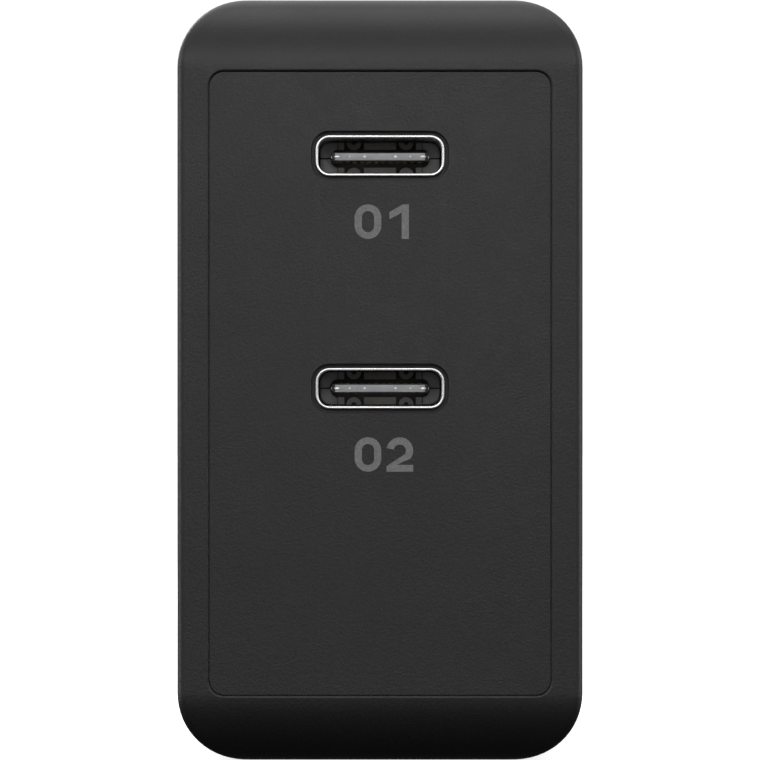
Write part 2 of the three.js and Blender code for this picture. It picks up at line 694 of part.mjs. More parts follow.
// A component with four sides on the main board, by its middle, its size along Y and Z, and its height.
function onBoard(y, z, deep, tall, height, lift = 0) {
  const x0 = seat + lift;
  return block(x0, x0 + height, y - deep / 2, y + deep / 2, z - tall / 2, z + tall / 2);
}

function standingCan(y, z, diameter, length) {
  const r = diameter / 2;
  const groove = 0.35;
  const profile = [
    [0, 0], [r - 0.3, 0], [r, 0.4], [r, 1.6], [r - groove, 2], [r, 2.4], [r, length - 0.5],
    [r - 0.5, length], [0, length],
  ];
  const geometry = turned(spun(profile, 20), BACKWARDS, X, Z);
  return solidFrom(geometry.translate(seat + GLUE_LINE, y, z));
}

// A disc on edge, its axis along Z.
function discOnEdge(y, z, diameter, thickness) {
  const half = thickness / 2;
  return rodZ(diameter / 2, z - half, z + half, seat + 0.8 + diameter / 2, y, 20);
}

const TORUS_RADIUS = 3.1;
const TORUS_TUBE = 1.5;
const TORUS_WINDING = 2;
const chokeX = seat + GLUE_LINE + TORUS_WINDING;
const chokeY = firstRow - TORUS_RADIUS - TORUS_WINDING;
const chokeZ = floorZ + 2 * BULK_DIAMETER + 1.2 + TORUS_RADIUS + TORUS_WINDING;

function chokeCore() {
  const torus = new THREE.TorusGeometry(TORUS_RADIUS, TORUS_TUBE, 10, 20);
  return solidFrom(turned(torus, Y, Z, X).translate(chokeX, chokeY, chokeZ));
}

// Half of the choke's wire, as a sleeve round the core.
function chokeWinding(startAngle) {
  const span = THREE.MathUtils.degToRad(136);
  const path = new THREE.Curve();
  path.getPoint = (t, target = new THREE.Vector3()) => {
    const angle = startAngle + span * t;
    const [across, up] = [TORUS_RADIUS * Math.cos(angle), TORUS_RADIUS * Math.sin(angle)];
    return target.set(chokeX, chokeY + across, chokeZ + up);
  };
  const section = new THREE.Shape().absarc(0, 0, TORUS_WINDING, 0, 2 * Math.PI);
  section.holes.push(new THREE.Path().absarc(0, 0, TORUS_TUBE + 0.08, 0, 2 * Math.PI));
  const options = { steps: 10, curveSegments: 6, extrudePath: path, bevelEnabled: false };
  return solidFrom(new THREE.ExtrudeGeometry(section, options));
}

const coreX = seat + 1 + CORE_WIDTH / 2;
const coreY = firstRow - BULK_DIAMETER - 0.9 - WINDING_RADIUS;
const coreZ = -4;
const LEG_RADIUS = 2.7;
const BOBBIN_WALL = 0.7;
const plateThickness = 2.5;

// One E-shaped half of the transformer's core: +1 is the upper half, -1 the lower.
function coreHalf(s) {
  const reach = CORE_HEIGHT / 2;
  const legIn = CORE_WIDTH / 2 - 1.8;
  const [z0, z1] = s > 0 ? [reach - plateThickness, reach] : [-reach, -reach + plateThickness];
  const [l0, l1] = s > 0 ? [0.05, reach - 1] : [-reach + 1, -0.05];
  const depth = CORE_DEPTH / 2;
  const slab = (x0, x1, low, high) =>
    block(coreX + x0, coreX + x1, coreY - depth, coreY + depth, coreZ + low, coreZ + high);
  const parts = [
    slab(-CORE_WIDTH / 2, CORE_WIDTH / 2, z0, z1),
    rodZ(LEG_RADIUS, coreZ + l0, coreZ + l1, coreX, coreY, 20),
    slab(-CORE_WIDTH / 2, -legIn, l0, l1),
    slab(legIn, CORE_WIDTH / 2, l0, l1),
  ];
  return join(...parts);
}

function spunZ(points, sides = 24) {
  return solidFrom(turned(spun(points, sides), X, Z, BACKWARDS).translate(coreX, coreY, coreZ));
}

const bobbinEnd = CORE_HEIGHT / 2 - plateThickness - 0.1;
const bobbinInner = LEG_RADIUS + 0.1;

function bobbin() {
  const tube = bobbinInner + BOBBIN_WALL;
  const rim = WINDING_RADIUS + 0.2;
  const flange = bobbinEnd - BOBBIN_WALL;
  return spunZ([
    [bobbinInner, -bobbinEnd], [rim, -bobbinEnd], [rim, -flange], [tube, -flange],
    [tube, flange], [rim, flange], [rim, bobbinEnd], [bobbinInner, bobbinEnd],
  ]);
}

function winding() {
  const inner = bobbinInner + BOBBIN_WALL + 0.1;
  const end = bobbinEnd - BOBBIN_WALL - 0.1;
  return spunZ([[inner, -end], [WINDING_RADIUS, -end], [WINDING_RADIUS, end], [inner, end]]);
}

const spreaderX = innerSide - 0.95;

function heatSpreader() {
  const sheet = 0.4;
  const rear = boardRear - 1;
  const low = innerBottom + 3.5;
  const high = innerTop - 3.5;
  const plate = block(spreaderX, spreaderX + sheet, boardFront + 0.6, rear, low, high);
  const foot = block(spreaderX - 4, spreaderX + sheet, boardFront + 0.6, rear, low, low + sheet);
  const clearOfCans = block(-side, side, firstRow - BULK_DIAMETER - 1, 0, bottom, low + 2);
  return plate.add(cut(foot, clearOfCans));
}

function thermalPad() {
  const half = PAD_LENGTH / 2;
  const face = coreX + CORE_WIDTH / 2 + GLUE_LINE;
  return block(face, spreaderX - GLUE_LINE, coreY - 3.6, coreY + 3.6, coreZ - half, coreZ + half);
}

const bulkZ = [0, 1].map((i) => floorZ + BULK_DIAMETER * (i + 0.5) + 0.5 * i);
const outY = boardFront + 0.6 + OUT_DIAMETER / 2;
const outZ = [0, 1].map((i) => floorZ + OUT_DIAMETER * (i + 0.5) + 0.3 * i);
const inductorY = boardFront + 3.3;
const inductorZ = [0, 1].map((i) => ceilingZ - INDUCTOR * (i + 0.5) - 0.3 * i);
const middleY = firstRow - BULK_DIAMETER - 5.5;

// ---------------------------------------------------------------- every piece, by name

piece("housing_sleeve", housingSleeve(), blackShell);
piece("front_panel", frontPanel(), blackMoulding);
piece("rear_cover", rearCover(), blackShell);

piece("plug_rotor", plugRotor(), blackMoulding);
piece("pivot_retainer", pivotRetainer(), blackMoulding);
piece("detent_spring", detentSpring(), steel);
const routes = mainsWires();
for (const [word, x] of [["left", -bladeX], ["right", bladeX]]) {
  piece(`blade_${word}`, plugBlade(x), nickel);
  piece(`contact_spring_${word}`, contactSpring(x), bronze);
  piece(`mains_wire_${word}`, wire(routes[word]), finish(word === "left" ? "#8c1c1c" : "#e4e4e0", 0.5, 0));
}
for (const [word, z] of Object.entries(bossHeights)) {
  piece(`retainer_screw_${word}`, retainerScrew(z), steel);
}

for (const [word, z] of Object.entries(portHeights)) {
  piece(`port_shell_${word}`, portShell(z), nickel);
  piece(`port_insulator_${word}`, portInsulator(z), epoxy);
  piece(`port_midplate_${word}`, portMidplate(z), steel);
}

piece("port_board", portBoard(), greenBoard);
piece("main_board", mainBoard(), greenBoard);
piece("insulation_sheet", insulationSheet(), finish("#efe9d2", 0.4, 0));
piece("board_header", onBoard(boardFront + 1.3, coreZ - 2.5, 2.2, 11, 2.5), epoxy);

const shrinkSleeve = finish("#2b2440", 0.4, 0);
const bareCan = finish("#c4c6c8", 0.3, 1);
["lower", "upper"].forEach((word, i) => {
  const bulk = standingCan(firstRow - BULK_DIAMETER / 2, bulkZ[i], BULK_DIAMETER, BULK_LENGTH);
  piece(`bulk_capacitor_${word}`, bulk, shrinkSleeve);
  piece(`output_capacitor_${word}`, standingCan(outY, outZ[i], OUT_DIAMETER, OUT_LENGTH), bareCan);
  piece(`output_inductor_${word}`, onBoard(inductorY, inductorZ[1 - i], 5, INDUCTOR, 3), ferrite);
});

const filmZ = ceilingZ - FILM_TALL / 2;
piece("x_capacitor", onBoard(firstRow - 2.75, filmZ, 5.5, FILM_TALL, 11), finish("#c8a32a", 0.5, 0));
piece("choke_core", chokeCore(), ferrite);
["left", "right"].forEach((word, i) => {
  piece(`choke_winding_${word}`, chokeWinding(Math.PI * i + THREE.MathUtils.degToRad(22)), copper);
});
piece("bridge_rectifier", onBoard(firstRow - 3.4, filmZ - FILM_TALL / 2 - 2.4, 6.5, 4.2, 1.6), epoxy);
piece("optocoupler", onBoard(firstRow - 10, ceilingZ - 2.3, 6.5, 4.6, 2), epoxy);
piece("fuse", onBoard(coreY - 1.5, ceilingZ - 2.1, 8.4, 4.2, 8), finish("#3b3029", 0.5, 0));
piece("y_capacitor", discOnEdge(coreY, coreZ + CORE_HEIGHT / 2 + 2.2, 7, 3), finish("#2f62a8", 0.4, 0));
piece("thermistor", discOnEdge(middleY, floorZ + 1.8, 7, 3.4), finish("#1f3b2e", 0.5, 0));
piece("power_switch", onBoard(middleY, floorZ + 9, 8, 8, 0.9), epoxy);
piece("controller_chip", onBoard(middleY, floorZ + 15.6, 4, 4, 0.9), epoxy);
const aboveCans = outZ[1] + OUT_DIAMETER / 2;
piece("sync_rectifier", onBoard(boardFront + 5.6, aboveCans + 2.8, 6, 4.6, 0.9), epoxy);

piece("transformer_core_upper", coreHalf(1), ferrite);
piece("transformer_core_lower", coreHalf(-1), ferrite);
piece("transformer_bobbin", bobbin(), epoxy);
piece("transformer_winding", winding(), yellowTape);
piece("thermal_pad", thermalPad(), finish("#8f9aa6", 0.8, 0));
piece("heat_spreader", heatSpreader(), finish("#c0c2c4", 0.35, 1));

for (const [word, z] of Object.entries(portHeights)) {
  const chipY = portBoardRear + GLUE_LINE;
  piece(`port_controller_${word}`, block(1.5, 5.5, chipY, chipY + 0.85, z - 7.2, z - 3.2), epoxy);
}

export default charger;
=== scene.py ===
import json
import math

import bmesh
import bpy
from mathutils import Matrix, Vector


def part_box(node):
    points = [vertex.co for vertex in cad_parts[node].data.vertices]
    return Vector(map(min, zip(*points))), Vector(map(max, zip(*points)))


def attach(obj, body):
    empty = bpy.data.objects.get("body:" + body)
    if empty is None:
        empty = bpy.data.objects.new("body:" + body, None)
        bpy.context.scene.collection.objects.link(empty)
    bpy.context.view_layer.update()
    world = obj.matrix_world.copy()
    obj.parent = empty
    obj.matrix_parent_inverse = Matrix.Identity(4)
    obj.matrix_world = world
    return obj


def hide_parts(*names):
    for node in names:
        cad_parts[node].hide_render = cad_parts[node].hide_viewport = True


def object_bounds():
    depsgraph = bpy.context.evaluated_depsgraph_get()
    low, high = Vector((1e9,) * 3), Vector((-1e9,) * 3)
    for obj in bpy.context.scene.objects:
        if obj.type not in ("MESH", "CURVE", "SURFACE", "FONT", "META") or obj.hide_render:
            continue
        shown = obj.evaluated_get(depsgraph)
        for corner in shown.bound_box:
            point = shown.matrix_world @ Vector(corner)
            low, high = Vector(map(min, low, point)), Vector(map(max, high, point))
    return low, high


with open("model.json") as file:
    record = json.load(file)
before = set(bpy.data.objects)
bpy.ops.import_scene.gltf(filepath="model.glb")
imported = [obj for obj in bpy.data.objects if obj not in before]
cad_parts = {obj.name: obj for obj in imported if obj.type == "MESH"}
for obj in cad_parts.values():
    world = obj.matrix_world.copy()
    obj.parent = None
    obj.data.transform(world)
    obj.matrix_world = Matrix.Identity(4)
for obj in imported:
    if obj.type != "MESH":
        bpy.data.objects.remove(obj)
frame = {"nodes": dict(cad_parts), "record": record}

cad_box = [list(corner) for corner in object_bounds()]

MM = 0.001
QUARTER = math.pi / 2
MERGE_DISTANCE = 0.002 * MM

# The housing's round shapes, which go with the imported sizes.
CORNER = 4.95 * MM
FRONT_ROUND = 5 * MM
SIDE_FILLET = 0.55 * MM
WALL = 1.8 * MM
FRONT_WALL = 2.2 * MM
INSIDE_FRONT_ROUND = FRONT_ROUND - FRONT_WALL
SEAM_EDGE = 0.12 * MM
SEAM_STEPS = 4
EDGE_MARGIN = 0.08 * MM  # straight stretch beside a fillet
MOULDED_EDGE = 0.12 * MM
STAMPED_EDGE = 0.14 * MM
SHARP_ANGLE = math.radians(35)
EASED_ANGLE = math.radians(32)
RAIL_THICKNESS = 1 * MM
RAIL_CLEARANCE = 0.15 * MM
RAIL_GRIP = 0.9 * MM
RAIL_ROOT = 0.3 * MM
CORNER_STEPS = 16
FILLET_STEPS = 8
LAND_STEPS = 12

# The panel and its window.
PANEL_CORNER = 1.03 * MM
PANEL_GAP = 0.022 * MM
PANEL_BED = 0.05 * MM
PANEL_EDGE = 0.03 * MM
WINDOW_EDGE = 0.16 * MM
WINDOW_MARGIN = 0.05 * MM
LEDGE = 1.2 * MM

# The ports.
MOUTH_CORNER = 0.8 * MM
MOUTH_FLATTER = 0.075 * MM
MOUTH_WIDER = 0.03 * MM
PORT_SHEET = 0.2 * MM
RECESS_WIDTH = 0.3 * MM
RECESS_DEPTH = 0.6 * MM
RECESS_EDGE = 0.05 * MM
RECESS_BREAK = 0.02 * MM
PORT_CLEARANCE = 0.02 * MM
PORT_STEPS = 12
PORT_NAMES = ("upper", "lower")

# Printed numerals below the ports.
NUMERAL_HEIGHT = 2.38 * MM
NUMERAL_WIDTH = 4.04 * MM
NUMERAL_BELOW = 4.56 * MM
NUMERAL_ASIDE = 0.27 * MM
FIGURE_WIDTH = 1.84 * MM
STROKE = 0.5 * MM
INK_THICKNESS = 0.012 * MM

# ---------------------------------------------------------------- outlines and walls


class Outline:
    """A rounded rectangle across X and Z, with one corner radius."""

    def __init__(self, left, right, low, high, corner):
        self.middle = ((left + right) / 2, (low + high) / 2)
        self.half = ((right - left) / 2, (high - low) / 2)
        self.corner = corner

    def inset(self, by):
        """The outline that runs inside this one at an even distance."""
        half = (self.half[0] - by, self.half[1] - by)
        return outline_about(self.middle, half, max(self.corner - by, 0.02 * MM))

    def towards(self, other, share):
        """The outline that lies between this one and another."""
        blend = [a + (b - a) * share for a, b in zip(self.values(), other.values())]
        return outline_about(blend[0:2], blend[2:4], blend[4])

    def values(self):
        return [*self.middle, *self.half, self.corner]

    def arc_middle(self, side, end):
        """The middle of the corner arc on that side (-1 or 1) and at that end."""
        x = self.middle[0] + side * (self.half[0] - self.corner)
        z = self.middle[1] + end * (self.half[1] - self.corner)
        return Vector((x, 0, z))


def outline_about(middle, half, corner):
    low, high = middle[1] - half[1], middle[1] + half[1]
    return Outline(middle[0] - half[0], middle[0] + half[0], low, high, corner)


def outline_of(low, high, corner):
    """The outline of a box, seen along Y."""
    return Outline(low.x, high.x, low.z, high.z, corner)


def flat(depth):
    """A depth along Y that is the same at every height."""
    return lambda z: depth


def moved(depth, by):
    """A depth along Y that follows another one at a distance."""
    return lambda z: depth(z) + by


def first_ring(work, outline, depth, steps):
    """A closed ring of edges in the outline's shape."""
    corners = bmesh.ops.create_grid(work, x_segments=1, y_segments=1, size=1)["verts"]
    face = corners[0].link_faces[0]
    bmesh.ops.scale(work, verts=corners, vec=(outline.half[0], outline.half[1], 1))
    bmesh.ops.rotate(work, verts=corners, cent=(0, 0, 0), matrix=Matrix.Rotation(QUARTER, 3, "X"))
    bmesh.ops.translate(work, verts=corners, vec=(outline.middle[0], 0, outline.middle[1]))
    before = set(work.faces) - {face}
    bmesh.ops.bevel(
        work, geom=corners, offset=outline.corner, offset_type="OFFSET", segments=steps,
        profile=0.5, affect="VERTICES", material=-1, clamp_overlap=False,
    )
    face = next(item for item in work.faces if item not in before)
    for vert in face.verts:
        vert.co.y = depth(vert.co.z)
    edges = list(face.edges)
    bmesh.ops.delete(work, geom=[face], context="FACES_ONLY")
    return edges


def next_ring(work, edges, outline, following, depth):
    """A strip of wall from a ring on one outline to a ring on the following one."""
    made = bmesh.ops.extrude_edge_only(work, edges=edges)["geom"]
    verts = {item for item in made if isinstance(item, bmesh.types.BMVert)}
    for vert in verts:
        side = math.copysign(1, vert.co.x - outline.middle[0])
        end = math.copysign(1, vert.co.z - outline.middle[1])
        facing = vert.co - outline.arc_middle(side, end)
        facing.y = 0
        facing.normalize()
        vert.co = following.arc_middle(side, end) + facing * following.corner
        vert.co.y = depth(vert.co.z)
    return [item for item in made if isinstance(item, bmesh.types.BMEdge) and set(item.verts) <= verts]


def wall(work, stages, steps=CORNER_STEPS):
    """A wall through a list of (outline, depth) stages. Returns its first and its last ring."""
    outline, depth = stages[0]
    first = first_ring(work, outline, depth, steps)
    ring = first
    for following, depth in stages[1:]:
        ring = next_ring(work, ring, outline, following, depth)
        outline = following
    return first, ring


def quarter_turns(steps):
    return [QUARTER * step / steps for step in range(steps + 1)]


def fillet_inwards(outline, face, radius, steps):
    """Stages from a side wall round onto the end face."""
    return [
        (outline.inset(radius * (1 - math.cos(a))), moved(face, radius * (1 - math.sin(a))))
        for a in quarter_turns(steps)
    ]


def fillet_down(outline, face, radius, steps):
    """Stages from the end face round into an opening with that outline."""
    return [
        (outline.inset(radius * (math.sin(a) - 1)), moved(face, radius * (1 - math.cos(a))))
        for a in quarter_turns(steps)
    ]


def land(start, end, face, steps):
    """Stages across an end face, from one outline to another."""
    return [(start.towards(end, step / steps), face) for step in range(1, steps)]


def cut_away(work, place, ahead):
    """Keeps what lies ahead of a plane and closes the cut."""
    cut = bmesh.ops.bisect_plane(
        work, geom=list(work.verts) + list(work.edges) + list(work.faces), dist=0.0001 * MM,
        plane_co=place, plane_no=ahead, clear_inner=True,
    )
    rims = [item for item in cut["geom_cut"] if isinstance(item, bmesh.types.BMEdge)]
    bmesh.ops.holes_fill(work, edges=rims, sides=0)


def add_part(work, part):
    """Moves a part that was shaped on its own into a piece."""
    mesh = bpy.data.meshes.new("part")
    part.to_mesh(mesh)
    part.free()
    work.from_mesh(mesh)
    bpy.data.meshes.remove(mesh)


def box_solid(work, low, high):
    """A closed box between two corners. Returns its vertices."""
    verts = bmesh.ops.create_cube(work, size=1)["verts"]
    low, high = Vector(low), Vector(high)
    bmesh.ops.scale(work, verts=verts, vec=high - low)
    bmesh.ops.translate(work, verts=verts, vec=(low + high) / 2)
    return verts


def close_up(work):
    """Merges what meets and turns every face outwards."""
    bmesh.ops.remove_doubles(work, verts=work.verts, dist=MERGE_DISTANCE)
    bmesh.ops.recalc_face_normals(work, faces=work.faces)


def finished(work, name, material, body, nodes):
    """The object of a bmesh, with its finish, on its body and in place of its CAD nodes."""
    mesh = bpy.data.meshes.new(name)
    work.to_mesh(mesh)
    work.free()
    piece = bpy.data.objects.new(name, mesh)
    bpy.context.scene.collection.objects.link(piece)
    mesh.materials.append(material)
    mesh.shade_smooth()
    mesh.set_sharp_from_angle(angle=SHARP_ANGLE)
    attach(piece, body)
    if nodes:
        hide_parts(*nodes)
    return piece


def even_shading(piece):
    """Keeps the flat faces flat to the eye beside their small rounded edges."""
    weighted = piece.modifiers.new("even_shading", "WEIGHTED_NORMAL")
    weighted.keep_sharp = True
    weighted.weight = 80


def eased_edges(piece, width):
    """Rounds off the sharp edges of a piece."""
    bevel = piece.modifiers.new("eased_edges", "BEVEL")
    bevel.width = width
    bevel.segments = 3
    bevel.limit_method = "ANGLE"
    bevel.angle_limit = EASED_ANGLE
    bevel.profile = 0.5
    bevel.use_clamp_overlap = True
    bevel.miter_outer = "MITER_ARC"


# ---------------------------------------------------------------- effects shared by the finishes


def effect(name, inputs, outputs):
    """A new node group, with its sockets, its input node and its output node."""
    tree = bpy.data.node_groups.new(name, "ShaderNodeTree")
    for label, kind, value in inputs:
        socket = tree.interface.new_socket(label, in_out="INPUT", socket_type=kind)
        if value is not None:
            socket.default_value = value
    for label, kind in outputs:
        tree.interface.new_socket(label, in_out="OUTPUT", socket_type=kind)
    return tree, tree.nodes.new("NodeGroupInput"), tree.nodes.new("NodeGroupOutput")


def math_node(tree, operation, first, second):
    """A Math node. Its inputs are sockets or numbers."""
    node = tree.nodes.new("ShaderNodeMath")
    node.operation = operation
    for socket, value in zip(node.inputs, (first, second)):
        if isinstance(value, bpy.types.NodeSocket):
            tree.links.new(value, socket)
        else:
            socket.default_value = value
    return node.outputs[0]


def noise(tree, vector, scale, detail=2.0, roughness=0.5):
    node = tree.nodes.new("ShaderNodeTexNoise")
    tree.links.new(vector, node.inputs["Vector"])
    if isinstance(scale, bpy.types.NodeSocket):
        tree.links.new(scale, node.inputs["Scale"])
    else:
        node.inputs["Scale"].default_value = scale
    node.inputs["Detail"].default_value = detail
    node.inputs["Roughness"].default_value = roughness
    return node.outputs["Fac"]


def spread(tree, value, low, high, new_low=0.0, new_high=1.0):
    """Map Range of a socket. The bounds may be sockets too."""
    node = tree.nodes.new("ShaderNodeMapRange")
    tree.links.new(value, node.inputs["Value"])
    for label, bound in zip(("From Min", "From Max", "To Min", "To Max"), (low, high, new_low, new_high)):
        if isinstance(bound, bpy.types.NodeSocket):
            tree.links.new(bound, node.inputs[label])
        else:
            node.inputs[label].default_value = bound
    return node.outputs["Result"]


def make_eroded_grain():
    """The fine pitted texture of a spark-eroded mould: coarse pits with a finer grit in them."""
    tree, start, end = effect(
        "eroded_grain",
        [("Vector", "NodeSocketVector", None), ("Grain Size", "NodeSocketFloat", 0.16 * MM)],
        [("Height", "NodeSocketFloat"), ("Speckle", "NodeSocketFloat")],
    )
    scale = math_node(tree, "DIVIDE", 1.0, start.outputs["Grain Size"])
    coarse = noise(tree, start.outputs["Vector"], scale, 1.5, 0.55)
    fine = noise(tree, start.outputs["Vector"], math_node(tree, "MULTIPLY", scale, 2.7), 2.0, 0.6)
    grit = math_node(tree, "MULTIPLY", fine, 0.45)
    height = math_node(tree, "ADD", math_node(tree, "MULTIPLY", coarse, 0.75), grit)
    tree.links.new(height, end.inputs["Height"])
    tree.links.new(spread(tree, height, 0.42, 0.78), end.inputs["Speckle"])
    return tree


def make_cloudy_tone():
    """Soft, wide patches, as moulded, plated and coated surfaces have."""
    tree, start, end = effect(
        "cloudy_tone",
        [("Vector", "NodeSocketVector", None), ("Patch Size", "NodeSocketFloat", 4 * MM)],
        [("Patches", "NodeSocketFloat")],
    )
    scale = math_node(tree, "DIVIDE", 1.0, start.outputs["Patch Size"])
    patches = noise(tree, start.outputs["Vector"], scale, 4.0, 0.55)
    tree.links.new(spread(tree, patches, 0.3, 0.7), end.inputs["Patches"])
    return tree


def make_rubbed_edges():
    """A broken-up mask on convex edges, where handling polishes the surface."""
    tree, start, end = effect(
        "rubbed_edges",
        [("Vector", "NodeSocketVector", None), ("Reach", "NodeSocketFloat", 0.04)],
        [("Mask", "NodeSocketFloat")],
    )
    geometry = tree.nodes.new("ShaderNodeNewGeometry")
    threshold = math_node(tree, "ADD", 0.5, start.outputs["Reach"])
    ridge = spread(tree, geometry.outputs["Pointiness"], 0.505, threshold)
    broken = spread(tree, noise(tree, start.outputs["Vector"], 900.0, 3.0), 0.35, 0.65)
    tree.links.new(math_node(tree, "MULTIPLY", ridge, broken), end.inputs["Mask"])
    return tree


def make_drawn_lines():
    """Fine lines along one axis, as rolled or brushed metal has. Stretch thins the pattern on each axis."""
    tree, start, end = effect(
        "drawn_lines",
        [("Vector", "NodeSocketVector", None), ("Stretch", "NodeSocketVector", (1.0, 1.0, 1.0)),
         ("Line Size", "NodeSocketFloat", 0.1 * MM)],
        [("Height", "NodeSocketFloat")],
    )
    stretched = tree.nodes.new("ShaderNodeVectorMath")
    stretched.operation = "MULTIPLY"
    tree.links.new(start.outputs["Vector"], stretched.inputs[0])
    tree.links.new(start.outputs["Stretch"], stretched.inputs[1])
    scale = math_node(tree, "DIVIDE", 1.0, start.outputs["Line Size"])
    lines = noise(tree, stretched.outputs["Vector"], scale, 3.0, 0.65)
    tree.links.new(lines, end.inputs["Height"])
    return tree


eroded_grain = make_eroded_grain()
cloudy_tone = make_cloudy_tone()
rubbed_edges = make_rubbed_edges()
drawn_lines = make_drawn_lines()


class Finish:
    """A procedural material in the making, with its shader and the place on the object."""

    def __init__(self, name):
        self.material = bpy.data.materials.new(name)
        self.material.use_nodes = True
        self.tree = self.material.node_tree
        self.shader = self.tree.nodes["Principled BSDF"]
        self.place = self.tree.nodes.new("ShaderNodeTexCoord").outputs["Object"]

    def group(self, effect_tree, **values):
        """One of the shared effects, placed in this finish with its own values."""
        node = self.tree.nodes.new("ShaderNodeGroup")
        node.node_tree = effect_tree
        self.tree.links.new(self.place, node.inputs["Vector"])
        for label, value in values.items():
            node.inputs[label.replace("_", " ").title()].default_value = value
        return node.outputs

    def blend(self, mask, first, second):
        """A colour between two others, by a mask. Each of them is a colour or a socket."""
        node = self.tree.nodes.new("ShaderNodeMix")
        node.data_type = "RGBA"
        self.tree.links.new(mask, node.inputs["Factor"])
        for label, value in (("A", first), ("B", second)):
            socket = next(item for item in node.inputs if item.name == label and item.type == "RGBA")
            if isinstance(value, bpy.types.NodeSocket):
                self.tree.links.new(value, socket)
            else:
                socket.default_value = (*value, 1)
        return next(item for item in node.outputs if item.type == "RGBA")

    def relief(self, height, depth, strength=1.0):
        """Raises the surface by a height socket."""
        node = self.tree.nodes.new("ShaderNodeBump")
        node.inputs["Distance"].default_value = depth
        node.inputs["Strength"].default_value = strength
        self.tree.links.new(height, node.inputs["Height"])
        return node.outputs["Normal"]

    def feed(self, label, socket):
        self.tree.links.new(socket, self.shader.inputs[label])

    def set(self, **values):
        """Plain values on the shader's own sockets."""
        for label, value in values.items():
            self.shader.inputs[label.replace("_", " ")].default_value = value


# ---------------------------------------------------------------- finishes


def textured_plastic(name, dark, light, roughness, grain, depth, rub=0.5):
    """Matt moulded plastic with an eroded texture, slightly polished where it is handled."""
    finish = Finish(name)
    tree = finish.tree
    pits = finish.group(eroded_grain, grain_size=grain)
    patches = finish.group(cloudy_tone, patch_size=5 * MM)["Patches"]
    rubbed = finish.group(rubbed_edges, reach=0.06)["Mask"]
    tone = math_node(tree, "ADD", math_node(tree, "MULTIPLY", patches, 0.3),
                     math_node(tree, "MULTIPLY", pits["Speckle"], 0.7))
    lighter = [value * 1.5 for value in light]
    worn = math_node(tree, "MULTIPLY", rubbed, rub)
    finish.feed("Base Color", finish.blend(worn, finish.blend(tone, dark, light), lighter))
    rough = spread(tree, patches, 0.0, 1.0, roughness + 0.015, roughness - 0.015)
    finish.feed("Roughness", math_node(tree, "SUBTRACT", rough, math_node(tree, "MULTIPLY", worn, 0.15)))
    finish.feed("Normal", finish.relief(pits["Height"], depth))
    return finish.material


def smooth_plastic(name, dark, light, roughness, patch=2 * MM, depth=0.004 * MM):
    """Plain moulded plastic, resin or lacquer with soft flow marks."""
    finish = Finish(name)
    patches = finish.group(cloudy_tone, patch_size=patch)["Patches"]
    pits = finish.group(eroded_grain, grain_size=0.3 * MM)
    finish.feed("Base Color", finish.blend(patches, dark, light))
    finish.feed("Roughness", spread(finish.tree, patches, 0.0, 1.0, roughness + 0.05, roughness - 0.05))
    finish.feed("Normal", finish.relief(pits["Height"], depth))
    return finish.material


def sheet_metal(name, dark, light, roughness, stretch, line=0.08 * MM, depth=0.0006 * MM):
    """Plated or bare metal with lines along the way it was rolled or drawn."""
    finish = Finish(name)
    lines = finish.group(drawn_lines, stretch=stretch, line_size=line)["Height"]
    patches = finish.group(cloudy_tone, patch_size=1.5 * MM)["Patches"]
    rubbed = finish.group(rubbed_edges, reach=0.08)["Mask"]
    toned = finish.blend(patches, dark, light)
    finish.feed("Base Color", finish.blend(rubbed, toned, [min(value * 1.1, 0.95) for value in light]))
    rough = spread(finish.tree, lines, 0.3, 0.7, roughness - 0.06, roughness + 0.08)
    finish.feed("Roughness", rough)
    finish.feed("Normal", finish.relief(lines, depth))
    finish.set(Metallic=1.0)
    return finish.material


def wound(name, dark, light, pitch, roughness, metallic):
    """Turns of wire or tape that lie side by side across X."""
    finish = Finish(name)
    tree = finish.tree
    wave = tree.nodes.new("ShaderNodeTexWave")
    wave.wave_type = "BANDS"
    wave.bands_direction = "X"
    wave.inputs["Scale"].default_value = 1 / pitch / 3
    wave.inputs["Distortion"].default_value = 0.6
    wave.inputs["Detail"].default_value = 1.0
    tree.links.new(finish.place, wave.inputs["Vector"])
    patches = finish.group(cloudy_tone, patch_size=1.2 * MM)["Patches"]
    tone = math_node(tree, "MULTIPLY", wave.outputs["Fac"], spread(tree, patches, 0.0, 1.0, 0.6, 1.0))
    finish.feed("Base Color", finish.blend(tone, dark, light))
    finish.feed("Roughness", spread(tree, patches, 0.0, 1.0, roughness + 0.06, roughness - 0.06))
    finish.feed("Normal", finish.relief(wave.outputs["Fac"], 0.03 * MM))
    finish.set(Metallic=metallic)
    return finish.material


